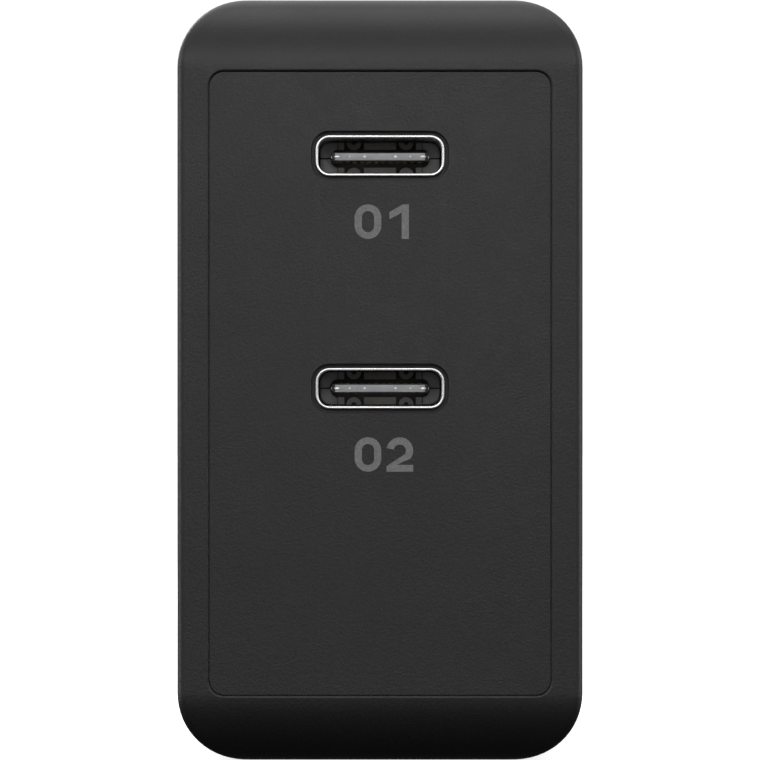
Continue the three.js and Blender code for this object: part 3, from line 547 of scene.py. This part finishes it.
def circuit_laminate():
    """Green solder mask over a glass weave, with darker traces showing through."""
    finish = Finish("board_laminate")
    tree = finish.tree
    weave = tree.nodes.new("ShaderNodeTexBrick")
    tree.links.new(finish.place, weave.inputs["Vector"])
    weave.inputs["Scale"].default_value = 600.0
    weave.inputs["Color1"].default_value = (0.9, 0.9, 0.9, 1)
    weave.inputs["Color2"].default_value = (0.6, 0.6, 0.6, 1)
    weave.inputs["Mortar"].default_value = (0.2, 0.2, 0.2, 1)
    traces = tree.nodes.new("ShaderNodeTexVoronoi")
    traces.feature = "DISTANCE_TO_EDGE"
    traces.distance = "EUCLIDEAN"
    traces.inputs["Scale"].default_value = 380.0
    tree.links.new(finish.place, traces.inputs["Vector"])
    track = spread(tree, traces.outputs["Distance"], 0.05, 0.09)
    patches = finish.group(cloudy_tone, patch_size=3 * MM)["Patches"]
    bare = finish.blend(patches, (0.008, 0.09, 0.035), (0.012, 0.13, 0.05))
    finish.feed("Base Color", finish.blend(track, (0.02, 0.2, 0.08), bare))
    finish.feed("Roughness", spread(tree, patches, 0.0, 1.0, 0.42, 0.3))
    finish.feed("Normal", finish.relief(weave.outputs["Fac"], 0.008 * MM, 0.5))
    return finish.material


def printed_ink():
    """Grey pad-printed ink, a little thin in places."""
    finish = Finish("numeral_ink")
    thin = finish.group(eroded_grain, grain_size=0.14 * MM)
    finish.feed("Base Color", finish.blend(thin["Speckle"], (0.155, 0.15, 0.15), (0.24, 0.232, 0.232)))
    finish.feed("Roughness", spread(finish.tree, thin["Speckle"], 0.0, 1.0, 0.6, 0.48))
    finish.feed("Normal", finish.relief(thin["Height"], 0.01 * MM))
    return finish.material


ALONG_X = (0.06, 1.0, 1.0)
ALONG_Y = (1.0, 0.06, 1.0)
ALONG_Z = (1.0, 1.0, 0.06)

finishes = {
    "housing_plastic": textured_plastic(
        "housing_plastic", (0.0055, 0.0055, 0.0058), (0.0125, 0.0124, 0.0126), 0.5, 0.17 * MM, 0.02 * MM,
    ),
    "panel_plastic": textured_plastic(
        "panel_plastic", (0.0055, 0.0055, 0.0058), (0.0125, 0.0124, 0.0126), 0.5, 0.16 * MM, 0.02 * MM, 0.2,
    ),
    "plug_plastic": textured_plastic(
        "plug_plastic", (0.005, 0.005, 0.0054), (0.011, 0.011, 0.0115), 0.46, 0.15 * MM, 0.014 * MM,
    ),
    "blade_plating": sheet_metal(
        "blade_plating", (0.72, 0.7, 0.67), (0.8, 0.785, 0.76), 0.3, ALONG_Y, 0.12 * MM, 0.0001 * MM,
    ),
    "spring_bronze": sheet_metal("spring_bronze", (0.62, 0.36, 0.13), (0.75, 0.47, 0.2), 0.3, ALONG_X),
    "spring_steel": sheet_metal("spring_steel", (0.42, 0.42, 0.42), (0.58, 0.58, 0.57), 0.32, ALONG_X),
    "port_steel": sheet_metal("port_steel", (0.86, 0.85, 0.845), (0.94, 0.935, 0.93), 0.3, ALONG_Y),
    "port_moulding": smooth_plastic(
        "port_moulding", (0.18, 0.18, 0.185), (0.245, 0.245, 0.25), 0.42, 1 * MM,
    ),
    "board_laminate": circuit_laminate(),
    "insulating_film": smooth_plastic("insulating_film", (0.5, 0.42, 0.2), (0.62, 0.52, 0.28), 0.3),
    "moulded_epoxy": smooth_plastic("moulded_epoxy", (0.008, 0.008, 0.009), (0.018, 0.018, 0.02), 0.5),
    "film_capacitor_box": smooth_plastic(
        "film_capacitor_box", (0.55, 0.42, 0.05), (0.66, 0.52, 0.08), 0.35,
    ),
    "ferrite": textured_plastic(
        "ferrite", (0.02, 0.02, 0.022), (0.05, 0.05, 0.052), 0.62, 0.2 * MM, 0.03 * MM, 0.9,
    ),
    "fuse_body": smooth_plastic("fuse_body", (0.016, 0.016, 0.018), (0.035, 0.034, 0.036), 0.4),
    "blue_disc": smooth_plastic("blue_disc", (0.02, 0.1, 0.36), (0.035, 0.15, 0.48), 0.32),
    "green_disc": smooth_plastic("green_disc", (0.03, 0.14, 0.06), (0.05, 0.22, 0.09), 0.38),
    "winding_tape": wound("winding_tape", (0.5, 0.33, 0.03), (0.72, 0.52, 0.07), 0.9 * MM, 0.36, 0.0),
    "wire_red": smooth_plastic("wire_red", (0.4, 0.015, 0.012), (0.55, 0.03, 0.02), 0.36),
    "wire_white": smooth_plastic("wire_white", (0.62, 0.61, 0.58), (0.76, 0.75, 0.72), 0.38),
    "capacitor_sleeve": smooth_plastic(
        "capacitor_sleeve", (0.012, 0.013, 0.02), (0.025, 0.026, 0.038), 0.28,
    ),
    "capacitor_can": sheet_metal("capacitor_can", (0.66, 0.66, 0.67), (0.8, 0.8, 0.8), 0.28, ALONG_Z),
    "copper_wire": wound("copper_wire", (0.42, 0.13, 0.045), (0.86, 0.36, 0.17), 0.35 * MM, 0.3, 1.0),
    "thermal_pad": smooth_plastic("thermal_pad", (0.28, 0.33, 0.38), (0.38, 0.43, 0.47), 0.66),
    "spreader_aluminium": sheet_metal(
        "spreader_aluminium", (0.6, 0.61, 0.62), (0.75, 0.75, 0.76), 0.34, ALONG_Z,
    ),
}
contact_gold = sheet_metal("contact_gold", (0.78, 0.52, 0.17), (0.92, 0.66, 0.27), 0.24, ALONG_Y, 0.05 * MM)
numeral_ink = printed_ink()
tongue_grey = smooth_plastic("tongue_grey", (0.36, 0.365, 0.375), (0.44, 0.445, 0.455), 0.38, 0.8 * MM)


def paint_cad_nodes():
    """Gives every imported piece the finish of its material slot."""
    for subpart in frame["record"]["subparts"]:
        mesh = frame["nodes"][subpart["node"]].data
        mesh.materials.clear()
        mesh.materials.append(finishes[subpart["material_slot"]])


paint_cad_nodes()

# ---------------------------------------------------------------- housing sleeve

sleeve_low, sleeve_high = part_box("housing_sleeve")
panel_low, panel_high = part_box("front_panel")
outer_outline = outline_of(sleeve_low, sleeve_high, CORNER)
panel_outline = outline_of(panel_low, panel_high, PANEL_CORNER)
window_outline = panel_outline.inset(-PANEL_GAP)


def front_round(front, radius, top, bottom):
    """The depth of a front face that is rounded over its top and bottom."""

    def depth(z):
        over = max(z - (top - radius), (bottom + radius) - z, 0)
        over = min(over, radius)
        return front + radius - math.sqrt(radius * radius - over * over)

    return depth


def add_board_rails(work):
    """The two pairs of ribs that hold the main board, at the top and bottom of the sleeve's inside."""
    low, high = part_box("main_board")
    walls = (sleeve_low.z + WALL - RAIL_ROOT, sleeve_high.z - WALL + RAIL_ROOT)
    behind = (sleeve_low.x + WALL - RAIL_ROOT, low.x - RAIL_CLEARANCE)
    ahead = (high.x + RAIL_CLEARANCE, high.x + RAIL_CLEARANCE + RAIL_THICKNESS)
    for near, far in (behind, ahead):
        box_solid(work, (near, low.y, walls[0]), (far, high.y, low.z + RAIL_GRIP))
        box_solid(work, (near, low.y, high.z - RAIL_GRIP), (far, high.y, walls[1]))


def build_sleeve():
    """The front part of the housing: one wall that runs from the seam round the window and back inside."""
    work = bmesh.new()
    rear = sleeve_high.y
    front = front_round(sleeve_low.y, FRONT_ROUND, sleeve_high.z, sleeve_low.z)
    inner = outer_outline.inset(WALL)
    inner_front = front_round(
        sleeve_low.y + FRONT_WALL, INSIDE_FRONT_ROUND, sleeve_high.z - WALL, sleeve_low.z + WALL)
    brow = outer_outline.inset(SIDE_FILLET + EDGE_MARGIN)
    window_brow = window_outline.inset(-WINDOW_EDGE - WINDOW_MARGIN)
    bed = panel_high.y + PANEL_BED
    ledge = panel_outline.inset(LEDGE)
    ledge = outline_about(ledge.middle, ledge.half, PANEL_CORNER)
    seam = [
        (outer_outline.inset(SEAM_EDGE * (1 - math.sin(a))), flat(rear - SEAM_EDGE * (1 - math.cos(a))))
        for a in quarter_turns(SEAM_STEPS)
    ]
    stages = [(inner, flat(rear))] + seam
    stages += [(outer_outline, flat(rear - 0.5 * MM))]
    stages += [(outer_outline, moved(front, SIDE_FILLET + EDGE_MARGIN))]
    stages += fillet_inwards(outer_outline, front, SIDE_FILLET, FILLET_STEPS)
    stages += [(brow, front)]
    stages += land(brow, window_brow, front, LAND_STEPS)
    stages += [(window_brow, front)]
    stages += fillet_down(window_outline, front, WINDOW_EDGE, 6)
    stages += [(window_outline, flat(bed)), (ledge, flat(bed)), (ledge, inner_front)]
    stages += land(ledge, inner, inner_front, 8)
    stages += [(inner, inner_front)]
    first, last = wall(work, stages)
    bmesh.ops.bridge_loops(work, edges=first + last)
    add_board_rails(work)
    close_up(work)
    sleeve = finished(work, "housing_sleeve_moulding", finishes["housing_plastic"], "charger_body",
                      ["housing_sleeve"])
    even_shading(sleeve)


build_sleeve()

# ---------------------------------------------------------------- front panel

port_boxes = {word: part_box(f"port_shell_{word}") for word in PORT_NAMES}


def mouth_outline(word, grow=0.0):
    """The outside of a port's steel sleeve at its mouth, grown evenly."""
    low, high = port_boxes[word]
    cad = outline_of(low, high, MOUTH_CORNER + PORT_SHEET)
    half = (cad.half[0] + MOUTH_WIDER + grow, cad.half[1] - MOUTH_FLATTER + grow)
    return outline_about(cad.middle, half, cad.corner + grow)


def build_panel():
    """A flat plate with a broken front edge, and an opening for each port."""
    work = bmesh.new()
    face, back = flat(panel_low.y), flat(panel_high.y)
    flank = fillet_inwards(panel_outline, face, PANEL_EDGE, 5)
    rim = (panel_outline.inset(PANEL_EDGE + 0.06 * MM), face)
    back_ring, front_ring = wall(work, [(panel_outline, back), *flank, rim], 10)
    fronts, backs = list(front_ring), list(back_ring)
    for word in PORT_NAMES:
        rim = mouth_outline(word, RECESS_WIDTH)
        opening = mouth_outline(word, PORT_CLEARANCE)
        bottom = flat(panel_low.y + RECESS_DEPTH)
        stages = [(rim.inset(-RECESS_EDGE), face), (rim, face)]
        stages += [(rim.inset(RECESS_BREAK), moved(face, RECESS_BREAK)), (rim.inset(RECESS_EDGE), bottom)]
        stages += [(opening, bottom), (opening, back)]
        mouth, end = wall(work, stages, 10)
        fronts += mouth
        backs += end
    for edges in (fronts, backs):
        bmesh.ops.triangle_fill(work, use_beauty=True, use_dissolve=False, edges=edges)
    close_up(work)
    panel = finished(work, "front_panel_moulding", finishes["panel_plastic"], "charger_body",
                     ["front_panel"])
    even_shading(panel)


build_panel()


def glyph_outline(work, points):
    """A flat figure from its corner points, in the figure's own width and height."""
    verts = [work.verts.new((x, 0, z)) for x, z in points]
    for first, second in zip(verts, verts[1:] + verts[:1]):
        work.edges.new((first, second))
    bmesh.ops.triangle_fill(work, use_beauty=True, use_dissolve=False, edges=work.edges)


def draw_nought(work):
    """A narrow oval ring."""
    middle = (FIGURE_WIDTH / 2, NUMERAL_HEIGHT / 2)
    outer = outline_about(middle, (FIGURE_WIDTH / 2, NUMERAL_HEIGHT / 2), FIGURE_WIDTH * 0.499)
    inner = outline_about(middle, (FIGURE_WIDTH / 2 - STROKE, NUMERAL_HEIGHT / 2 - STROKE * 0.92),
                          FIGURE_WIDTH * 0.499 - STROKE)
    wall(work, [(outer, flat(0)), (inner, flat(0))], 12)


def draw_one(work):
    """An upright stroke with a flag."""
    stem = FIGURE_WIDTH * 0.84
    glyph_outline(work, [
        (stem - STROKE, 0), (stem, 0), (stem, NUMERAL_HEIGHT), (stem - STROKE * 0.85, NUMERAL_HEIGHT),
        (STROKE * 0.4, NUMERAL_HEIGHT * 0.78), (STROKE * 0.4, NUMERAL_HEIGHT * 0.57),
        (stem - STROKE, NUMERAL_HEIGHT * 0.76),
    ])


def draw_two(work):
    """A round top on a slanted stroke and a flat foot."""
    radius = FIGURE_WIDTH / 2
    centre = (radius, NUMERAL_HEIGHT - radius)
    start, stop = math.radians(170), math.radians(-38)
    turns = [start + (stop - start) * step / 14 for step in range(15)]

    def arc(reach):
        return [(centre[0] + reach * math.cos(a), centre[1] + reach * math.sin(a)) for a in turns]

    foot = STROKE * 0.95
    base = [(STROKE * 1.35, foot), (FIGURE_WIDTH, foot), (FIGURE_WIDTH, 0), (0, 0), (0, foot * 0.8)]
    glyph_outline(work, [*arc(radius), *base, *reversed(arc(radius - STROKE))])


FIGURES = {"0": draw_nought, "1": draw_one, "2": draw_two}


def build_numeral(text, word):
    """A printed two-figure mark below a port."""
    work = bmesh.new()
    left = NUMERAL_ASIDE - NUMERAL_WIDTH / 2
    low, high = port_boxes[word]
    foot = (low.z + high.z) / 2 - NUMERAL_BELOW - NUMERAL_HEIGHT / 2
    for number, figure in enumerate(text):
        sketch = bmesh.new()
        FIGURES[figure](sketch)
        place = (left + number * (NUMERAL_WIDTH - FIGURE_WIDTH), panel_low.y, foot)
        bmesh.ops.translate(sketch, verts=sketch.verts, vec=place)
        add_part(work, sketch)
    raised = bmesh.ops.extrude_face_region(work, geom=work.faces)["geom"]
    tops = [item for item in raised if isinstance(item, bmesh.types.BMVert)]
    bmesh.ops.translate(work, verts=tops, vec=(0, -INK_THICKNESS, 0))
    bmesh.ops.recalc_face_normals(work, faces=work.faces)
    finished(work, f"numeral_{word}", numeral_ink, "charger_body", [])


build_numeral("01", "upper")
build_numeral("02", "lower")

# ---------------------------------------------------------------- ports

FACE_DEPTH = 5.25 * MM
FACE_CLEARANCE = 0.1 * MM
RING_DEPTH = 0.95 * MM
RING_EASE = 0.05 * MM
HOLLOW_HALF = (3.43 * MM, 0.63 * MM)
HOLLOW_CORNER = 0.5 * MM
SPLIT_AT = 2.96 * MM
SPLIT_HALF = 0.03 * MM
NOTCH_HALF = 0.05 * MM
LUG_AT = 1.83 * MM
LUG_RADIUS = 0.52 * MM
LUG_HOLE = 0.18 * MM
LUG_SPACE = 0.68 * MM
LUG_SET_BACK = 0.02 * MM
LUG_RAISE = 0.02 * MM
MIDDLE_HALF = 1.12 * MM
MIDDLE_SET_BACK = 0.03 * MM
LIP_SHARE = 0.36
LIP_MARGIN = 0.1 * MM
TAB_HALF = 0.42 * MM
TAB_OVERLAP = 0.2 * MM
TONGUE_HALF = (3.345 * MM, 0.32 * MM)
TONGUE_EDGE = 0.06 * MM
TONGUE_TIP_HALF = (3.13 * MM, 0.255 * MM)
TONGUE_TIP_DEPTH = 0.3 * MM
TONGUE_TIP_EDGE = 0.05 * MM
NOSE_HALF = 1.58 * MM
NOSE_EDGE = 0.03 * MM
LATCH_DEPTH = 0.9 * MM
STUD_DEPTH = 0.06 * MM
STUDS = [  # place aside, half width, half height
    (1.07 * MM, 0.13 * MM, 0.095 * MM),
    (2.1 * MM, 0.095 * MM, 0.085 * MM),
    (2.98 * MM, 0.22 * MM, 0.1 * MM),
]
CONTACT_COUNT = 12
CONTACT_PITCH = 0.5 * MM
CONTACT_HALF = 0.125 * MM
CONTACT_SET_BACK = 1 * MM
CONTACT_DEPTH = 0.05 * MM
CONTACT_RISE = 0.008 * MM


def build_port_shell(word):
    """The drawn steel sleeve, with a rolled lip, and its two tabs."""
    low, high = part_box(f"port_shell_{word}")
    outside = mouth_outline(word)
    inside = outside.inset(PORT_SHEET)
    mouth = flat(low.y)
    rear = flat(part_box(f"port_insulator_{word}")[1].y + PANEL_BED)
    lip = PORT_SHEET * LIP_SHARE
    straight = moved(mouth, lip + LIP_MARGIN)
    work = bmesh.new()
    stages = [(inside, rear), (outside, rear), (outside, straight)]
    stages += fillet_inwards(outside, mouth, lip, 5)
    stages += fillet_down(inside, mouth, lip, 5)
    stages += [(inside, straight)]
    first, last = wall(work, stages, PORT_STEPS)
    bmesh.ops.bridge_loops(work, edges=first + last)
    middle = (low.z + high.z) / 2
    for side in (-1, 1):
        near, far = sorted((side * (outside.half[0] - PORT_SHEET), side * outside.half[0]))
        start = rear(middle) - TAB_OVERLAP
        box_solid(work, (near, start, middle - TAB_HALF), (far, high.y, middle + TAB_HALF))
    close_up(work)
    shell = finished(work, f"port_sleeve_{word}", finishes["port_steel"], "charger_body",
                     [f"port_shell_{word}"])
    even_shading(shell)


def half_lug(work, place, end, depth):
    """A half-round lug that stands on the port's upper or lower wall, with a small hole at its middle."""
    lug = bmesh.new()
    for radius in (LUG_RADIUS, LUG_HOLE):
        bmesh.ops.create_circle(lug, cap_ends=False, segments=32, radius=radius)
    faces = bmesh.ops.bridge_loops(lug, edges=lug.edges)["faces"]
    bmesh.ops.rotate(lug, verts=lug.verts, cent=(0, 0, 0), matrix=Matrix.Rotation(QUARTER, 3, "X"))
    lid = bmesh.ops.extrude_face_region(lug, geom=faces)["geom"]
    lifted = [item for item in lid if isinstance(item, bmesh.types.BMVert)]
    bmesh.ops.translate(lug, verts=lifted, vec=(0, depth, 0))
    bmesh.ops.translate(lug, verts=lug.verts, vec=place)
    cut_away(lug, place, (0, 0, -end))
    add_part(work, lug)


def ring_quarter(work, stages, middle, side, end):
    """One quarter of the split ring, cut off straight towards the middle and at mid height."""
    quarter = bmesh.new()
    first, last = wall(quarter, stages, PORT_STEPS)
    bmesh.ops.bridge_loops(quarter, edges=first + last)
    cut_away(quarter, (side * (SPLIT_AT + SPLIT_HALF), 0, 0), (side, 0, 0))
    cut_away(quarter, (0, 0, middle + end * NOTCH_HALF), (0, 0, end))
    add_part(work, quarter)


def build_port_moulding(word):
    """The moulded inside of a port: its bottom, coloured black as painted shade, and the split ring with
    its lugs.
    """
    low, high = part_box(f"port_insulator_{word}")
    mouth = port_boxes[word][0].y
    outside = mouth_outline(word).inset(PORT_SHEET)
    middle = outside.middle[1]
    face = mouth + FACE_DEPTH
    floor = face + RING_DEPTH
    ring = outside.inset(FACE_CLEARANCE)
    hollow = outline_about(ring.middle, HOLLOW_HALF, HOLLOW_CORNER)
    # the block at the bottom, coloured black as painted shade of the deep hollow
    work = bmesh.new()
    block = outside.inset(PANEL_BED)
    for edges in wall(work, [(block, flat(floor)), (block, flat(high.y))], PORT_STEPS):
        bmesh.ops.edgeloop_fill(work, edges=edges)
    close_up(work)
    finished(work, f"port_bottom_painted_shade_{word}", finishes["moulded_epoxy"], "charger_body", [])
    work = bmesh.new()
    # the two round ends of the split ring, each in two halves and cut off straight
    root = floor + RING_EASE
    stages = [(ring, flat(root))] + fillet_inwards(ring, flat(face), RING_EASE, 2)
    stages += fillet_down(hollow, flat(face), RING_EASE, 2) + [(hollow, flat(root))]
    for side in (-1, 1):
        for end in (-1, 1):
            ring_quarter(work, stages, middle, side, end)
    # the straight parts between them, and the lugs
    for end in (-1, 1):
        near, far = sorted((middle + end * HOLLOW_HALF[1], middle + end * ring.half[1]))
        for side in (-1, 1):
            edges = sorted((side * (LUG_AT + LUG_SPACE), side * (SPLIT_AT - SPLIT_HALF)))
            box_solid(work, (edges[0], face, near), (edges[1], root, far))
            lug_face = face + LUG_SET_BACK
            place = Vector((side * LUG_AT, lug_face, middle + end * (ring.half[1] + LUG_RAISE)))
            half_lug(work, place, end, root - lug_face)
        box_solid(work, (-MIDDLE_HALF, face + MIDDLE_SET_BACK, near), (MIDDLE_HALF, root, far))
    bmesh.ops.recalc_face_normals(work, faces=work.faces)
    finished(work, f"port_moulding_{word}", finishes["port_moulding"], "charger_body",
             [f"port_insulator_{word}"])
    return low.y, middle, floor


def soften(work, verts, width):
    """Rounds every edge of a small box."""
    edges = [item for item in work.edges if set(item.verts) <= set(verts)]
    bmesh.ops.bevel(
        work, geom=edges, offset=width, offset_type="OFFSET", segments=3, profile=0.5,
        affect="EDGES", material=-1, clamp_overlap=True,
    )


def build_tongue(word, tip, middle, floor):
    """The flat tongue in the middle of a port: a body coloured black as painted shade of the hollow, and a
    pale tip that is thinner and narrower.
    """
    half_x, half_z = TONGUE_HALF
    start = tip + TONGUE_TIP_DEPTH
    body = bmesh.new()
    high = (half_x, floor + RING_EASE, middle + half_z)
    soften(body, box_solid(body, (-half_x, start, middle - half_z), high), TONGUE_EDGE)
    bmesh.ops.recalc_face_normals(body, faces=body.faces)
    # the black epoxy finish on the tongue's body is painted shade: the body lies in the port's shaded
    # hollow
    finished(body, f"port_tongue_{word}", finishes["moulded_epoxy"], "charger_body", [])
    half_x, half_z = TONGUE_TIP_HALF
    ahead = bmesh.new()
    high = (half_x, start + 0.1 * MM, middle + half_z)
    soften(ahead, box_solid(ahead, (-half_x, tip, middle - half_z), high), TONGUE_TIP_EDGE)
    nose_half_z = half_z - 0.02 * MM
    low = (-NOSE_HALF, tip - NOSE_EDGE, middle - nose_half_z)
    high = (NOSE_HALF, tip + 0.2 * MM, middle + nose_half_z)
    soften(ahead, box_solid(ahead, low, high), NOSE_EDGE)
    bmesh.ops.recalc_face_normals(ahead, faces=ahead.faces)
    finished(ahead, f"port_tongue_tip_{word}", tongue_grey, "charger_body", [])


def build_port_plate(word, tip, middle):
    """The steel plate inside the tongue, whose front edge shows as small studs."""
    work = bmesh.new()
    low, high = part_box(f"port_midplate_{word}")
    latch = low.y + LATCH_DEPTH
    nose = TONGUE_TIP_HALF[0] * 0.96
    box_solid(work, (-nose, low.y, low.z), (nose, latch, high.z))
    box_solid(work, (low.x, latch, low.z), high)
    for aside, half_width, half_height in STUDS:
        for side in (-1, 1):
            verts = bmesh.ops.create_uvsphere(work, u_segments=20, v_segments=12, radius=1)["verts"]
            bmesh.ops.scale(work, verts=verts, vec=(half_width, STUD_DEPTH, half_height))
            bmesh.ops.translate(work, verts=verts, vec=(side * aside, tip - 0.02 * MM, middle))
    bmesh.ops.recalc_face_normals(work, faces=work.faces)
    finished(work, f"port_plate_{word}", finishes["port_steel"], "charger_body",
             [f"port_midplate_{word}"])


def build_port_contacts(word, tip, middle, floor):
    """The contact strips on both faces of the tongue."""
    work = bmesh.new()
    for end in (-1, 1):
        surface = middle + end * TONGUE_HALF[1]
        near, far = sorted((surface - end * CONTACT_DEPTH, surface + end * CONTACT_RISE))
        for number in range(CONTACT_COUNT):
            x = (number - (CONTACT_COUNT - 1) / 2) * CONTACT_PITCH
            low = (x - CONTACT_HALF, tip + CONTACT_SET_BACK, near)
            box_solid(work, low, (x + CONTACT_HALF, floor, far))
    finished(work, f"port_contacts_{word}", contact_gold, "charger_body", [])


for port in PORT_NAMES:
    build_port_shell(port)
    tongue_tip, tongue_middle, port_floor = build_port_moulding(port)
    build_tongue(port, tongue_tip, tongue_middle, port_floor)
    build_port_plate(port, tongue_tip, tongue_middle)
    build_port_contacts(port, tongue_tip, tongue_middle, port_floor)

# ---------------------------------------------------------------- rear cover and plug


def smoothed_copy(node_name, name, slot_name, body, edge):
    """A piece with the shape of its CAD node, merged into one surface, with its edges eased."""
    work = bmesh.new()
    work.from_mesh(frame["nodes"][node_name].data)
    bmesh.ops.remove_doubles(work, verts=work.verts, dist=MERGE_DISTANCE)
    bmesh.ops.dissolve_limit(work, angle_limit=math.radians(0.5), verts=work.verts, edges=work.edges,
                             use_dissolve_boundaries=False, delimit=set())
    piece = finished(work, name, finishes[slot_name], body, [node_name])
    eased_edges(piece, edge)
    even_shading(piece)


smoothed_copy("rear_cover", "rear_cover_moulding", "housing_plastic", "charger_body", MOULDED_EDGE)
smoothed_copy("plug_rotor", "plug_rotor_moulding", "plug_plastic", "plug_blades", MOULDED_EDGE)
for hand in ("left", "right"):
    smoothed_copy(f"blade_{hand}", f"plug_blade_{hand}", "blade_plating", "plug_blades", STAMPED_EDGE)

# ---------------------------------------------------------------- camera, stage and light

scene = bpy.context.scene
middle_height = (sleeve_low.z + sleeve_high.z) / 2
VIEW_DISTANCE = 380 * MM
SENSOR = 36.0
FRAME_HEIGHT = 52.45 * MM


def place_camera():
    """Level with the housing's middle, square to the ports."""
    camera_data = bpy.data.cameras.new("camera")
    camera = bpy.data.objects.new("camera", camera_data)
    scene.collection.objects.link(camera)
    camera.location = (0, panel_low.y - VIEW_DISTANCE, middle_height)
    camera.rotation_euler = (QUARTER, 0, 0)
    camera_data.sensor_width = SENSOR
    camera_data.lens = SENSOR * VIEW_DISTANCE / FRAME_HEIGHT
    camera_data.clip_start = 0.01
    camera_data.clip_end = 20
    scene.camera = camera


def light_world():
    """Pure white to the eye, and to the object a studio that is bright above, even ahead and dark below."""
    world = bpy.data.worlds.new("studio")
    scene.world = world
    world.use_nodes = True
    tree = world.node_tree
    tree.nodes.clear()
    output = tree.nodes.new("ShaderNodeOutputWorld")
    paths = tree.nodes.new("ShaderNodeLightPath")
    direction = tree.nodes.new("ShaderNodeTexCoord")
    parts = tree.nodes.new("ShaderNodeSeparateXYZ")
    tree.links.new(direction.outputs["Generated"], parts.inputs["Vector"])
    ramp = tree.nodes.new("ShaderNodeValToRGB")
    height = spread(tree, parts.outputs["Z"], -1.0, 1.0)
    tree.links.new(height, ramp.inputs["Fac"])
    stops = [(0.0, 0.02), (0.44, 0.05), (0.5, 0.36), (0.55, 0.72), (0.66, 0.8), (0.8, 0.6), (1.0, 0.5)]
    ramp.color_ramp.elements[0].position = stops[0][0]
    ramp.color_ramp.elements[1].position = stops[-1][0]
    for position, _ in stops[1:-1]:
        ramp.color_ramp.elements.new(position)
    for element, (_, level) in zip(ramp.color_ramp.elements, stops):
        element.color = (level, level, level, 1)
    backdrop = tree.nodes.new("ShaderNodeMix")
    backdrop.data_type = "RGBA"
    behind = spread(tree, parts.outputs["Y"], 0.6, 0.97)
    raised = spread(tree, parts.outputs["Z"], -0.3, -0.02)
    tree.links.new(math_node(tree, "MULTIPLY", behind, raised), backdrop.inputs["Factor"])
    colours = [item for item in backdrop.inputs if item.type == "RGBA"]
    tree.links.new(ramp.outputs["Color"], colours[0])
    colours[1].default_value = (1.1, 1.1, 1.1, 1)
    studio = tree.nodes.new("ShaderNodeBackground")
    tree.links.new(next(item for item in backdrop.outputs if item.type == "RGBA"), studio.inputs["Color"])
    white = tree.nodes.new("ShaderNodeBackground")
    white.inputs["Color"].default_value = (1, 1, 1, 1)
    white.inputs["Strength"].default_value = 1.05
    either = tree.nodes.new("ShaderNodeMixShader")
    tree.links.new(paths.outputs["Is Camera Ray"], either.inputs["Fac"])
    tree.links.new(studio.outputs["Background"], either.inputs[1])
    tree.links.new(white.outputs["Background"], either.inputs[2])
    tree.links.new(either.outputs["Shader"], output.inputs["Surface"])


def soft_light(name, place, aim, size, power):
    """A soft box that faces a point."""
    data = bpy.data.lights.new(name, "AREA")
    data.shape = "RECTANGLE"
    data.size = size[0]
    data.size_y = size[1]
    data.energy = power
    lamp = bpy.data.objects.new(name, data)
    scene.collection.objects.link(lamp)
    lamp.location = place
    lamp.rotation_euler = (Vector(aim) - Vector(place)).to_track_quat("-Z", "Y").to_euler()


def lay_floor():
    """A plain pale floor, which reads as white and throws nothing back at the object."""
    work = bmesh.new()
    verts = bmesh.ops.create_grid(work, x_segments=1, y_segments=1, size=1.5)["verts"]
    lowest = cad_box[0][2]
    bmesh.ops.translate(work, verts=verts, vec=(0, 0, lowest - 0.05 * MM))
    mesh = bpy.data.meshes.new("floor")
    work.to_mesh(mesh)
    work.free()
    floor = bpy.data.objects.new("floor", mesh)
    scene.collection.objects.link(floor)
    pale = bpy.data.materials.new("pale_floor")
    pale.use_nodes = True
    shader = pale.node_tree.nodes["Principled BSDF"]
    shader.inputs["Base Color"].default_value = (0.85, 0.85, 0.85, 1)
    shader.inputs["Roughness"].default_value = 1.0
    shader.inputs["Specular IOR Level"].default_value = 0.0
    shader.inputs["Emission Color"].default_value = (1, 1, 1, 1)
    shader.inputs["Emission Strength"].default_value = 0.75
    mesh.materials.append(pale)
    floor.visible_glossy = False
    floor.visible_diffuse = False


place_camera()
light_world()
lay_floor()
front_middle = (0, sleeve_low.y, middle_height)
soft_light("overhead", (0, -20 * MM, 230 * MM), (0, -30 * MM, 0), (200 * MM, 160 * MM), 0.14)
soft_light("front_top", (0, -290 * MM, 78 * MM), front_middle, (220 * MM, 60 * MM), 0.175)
soft_light("left_strip", (-260 * MM, -60 * MM, 20 * MM), front_middle, (60 * MM, 240 * MM), 0.25)
soft_light("right_strip", (260 * MM, -60 * MM, 20 * MM), front_middle, (60 * MM, 240 * MM), 0.25)
soft_light("rear_fill", (-160 * MM, 260 * MM, 160 * MM), (0, 0, 0), (160 * MM, 160 * MM), 0.5)
scene.view_settings.view_transform = "Standard"
scene.view_settings.look = "None"
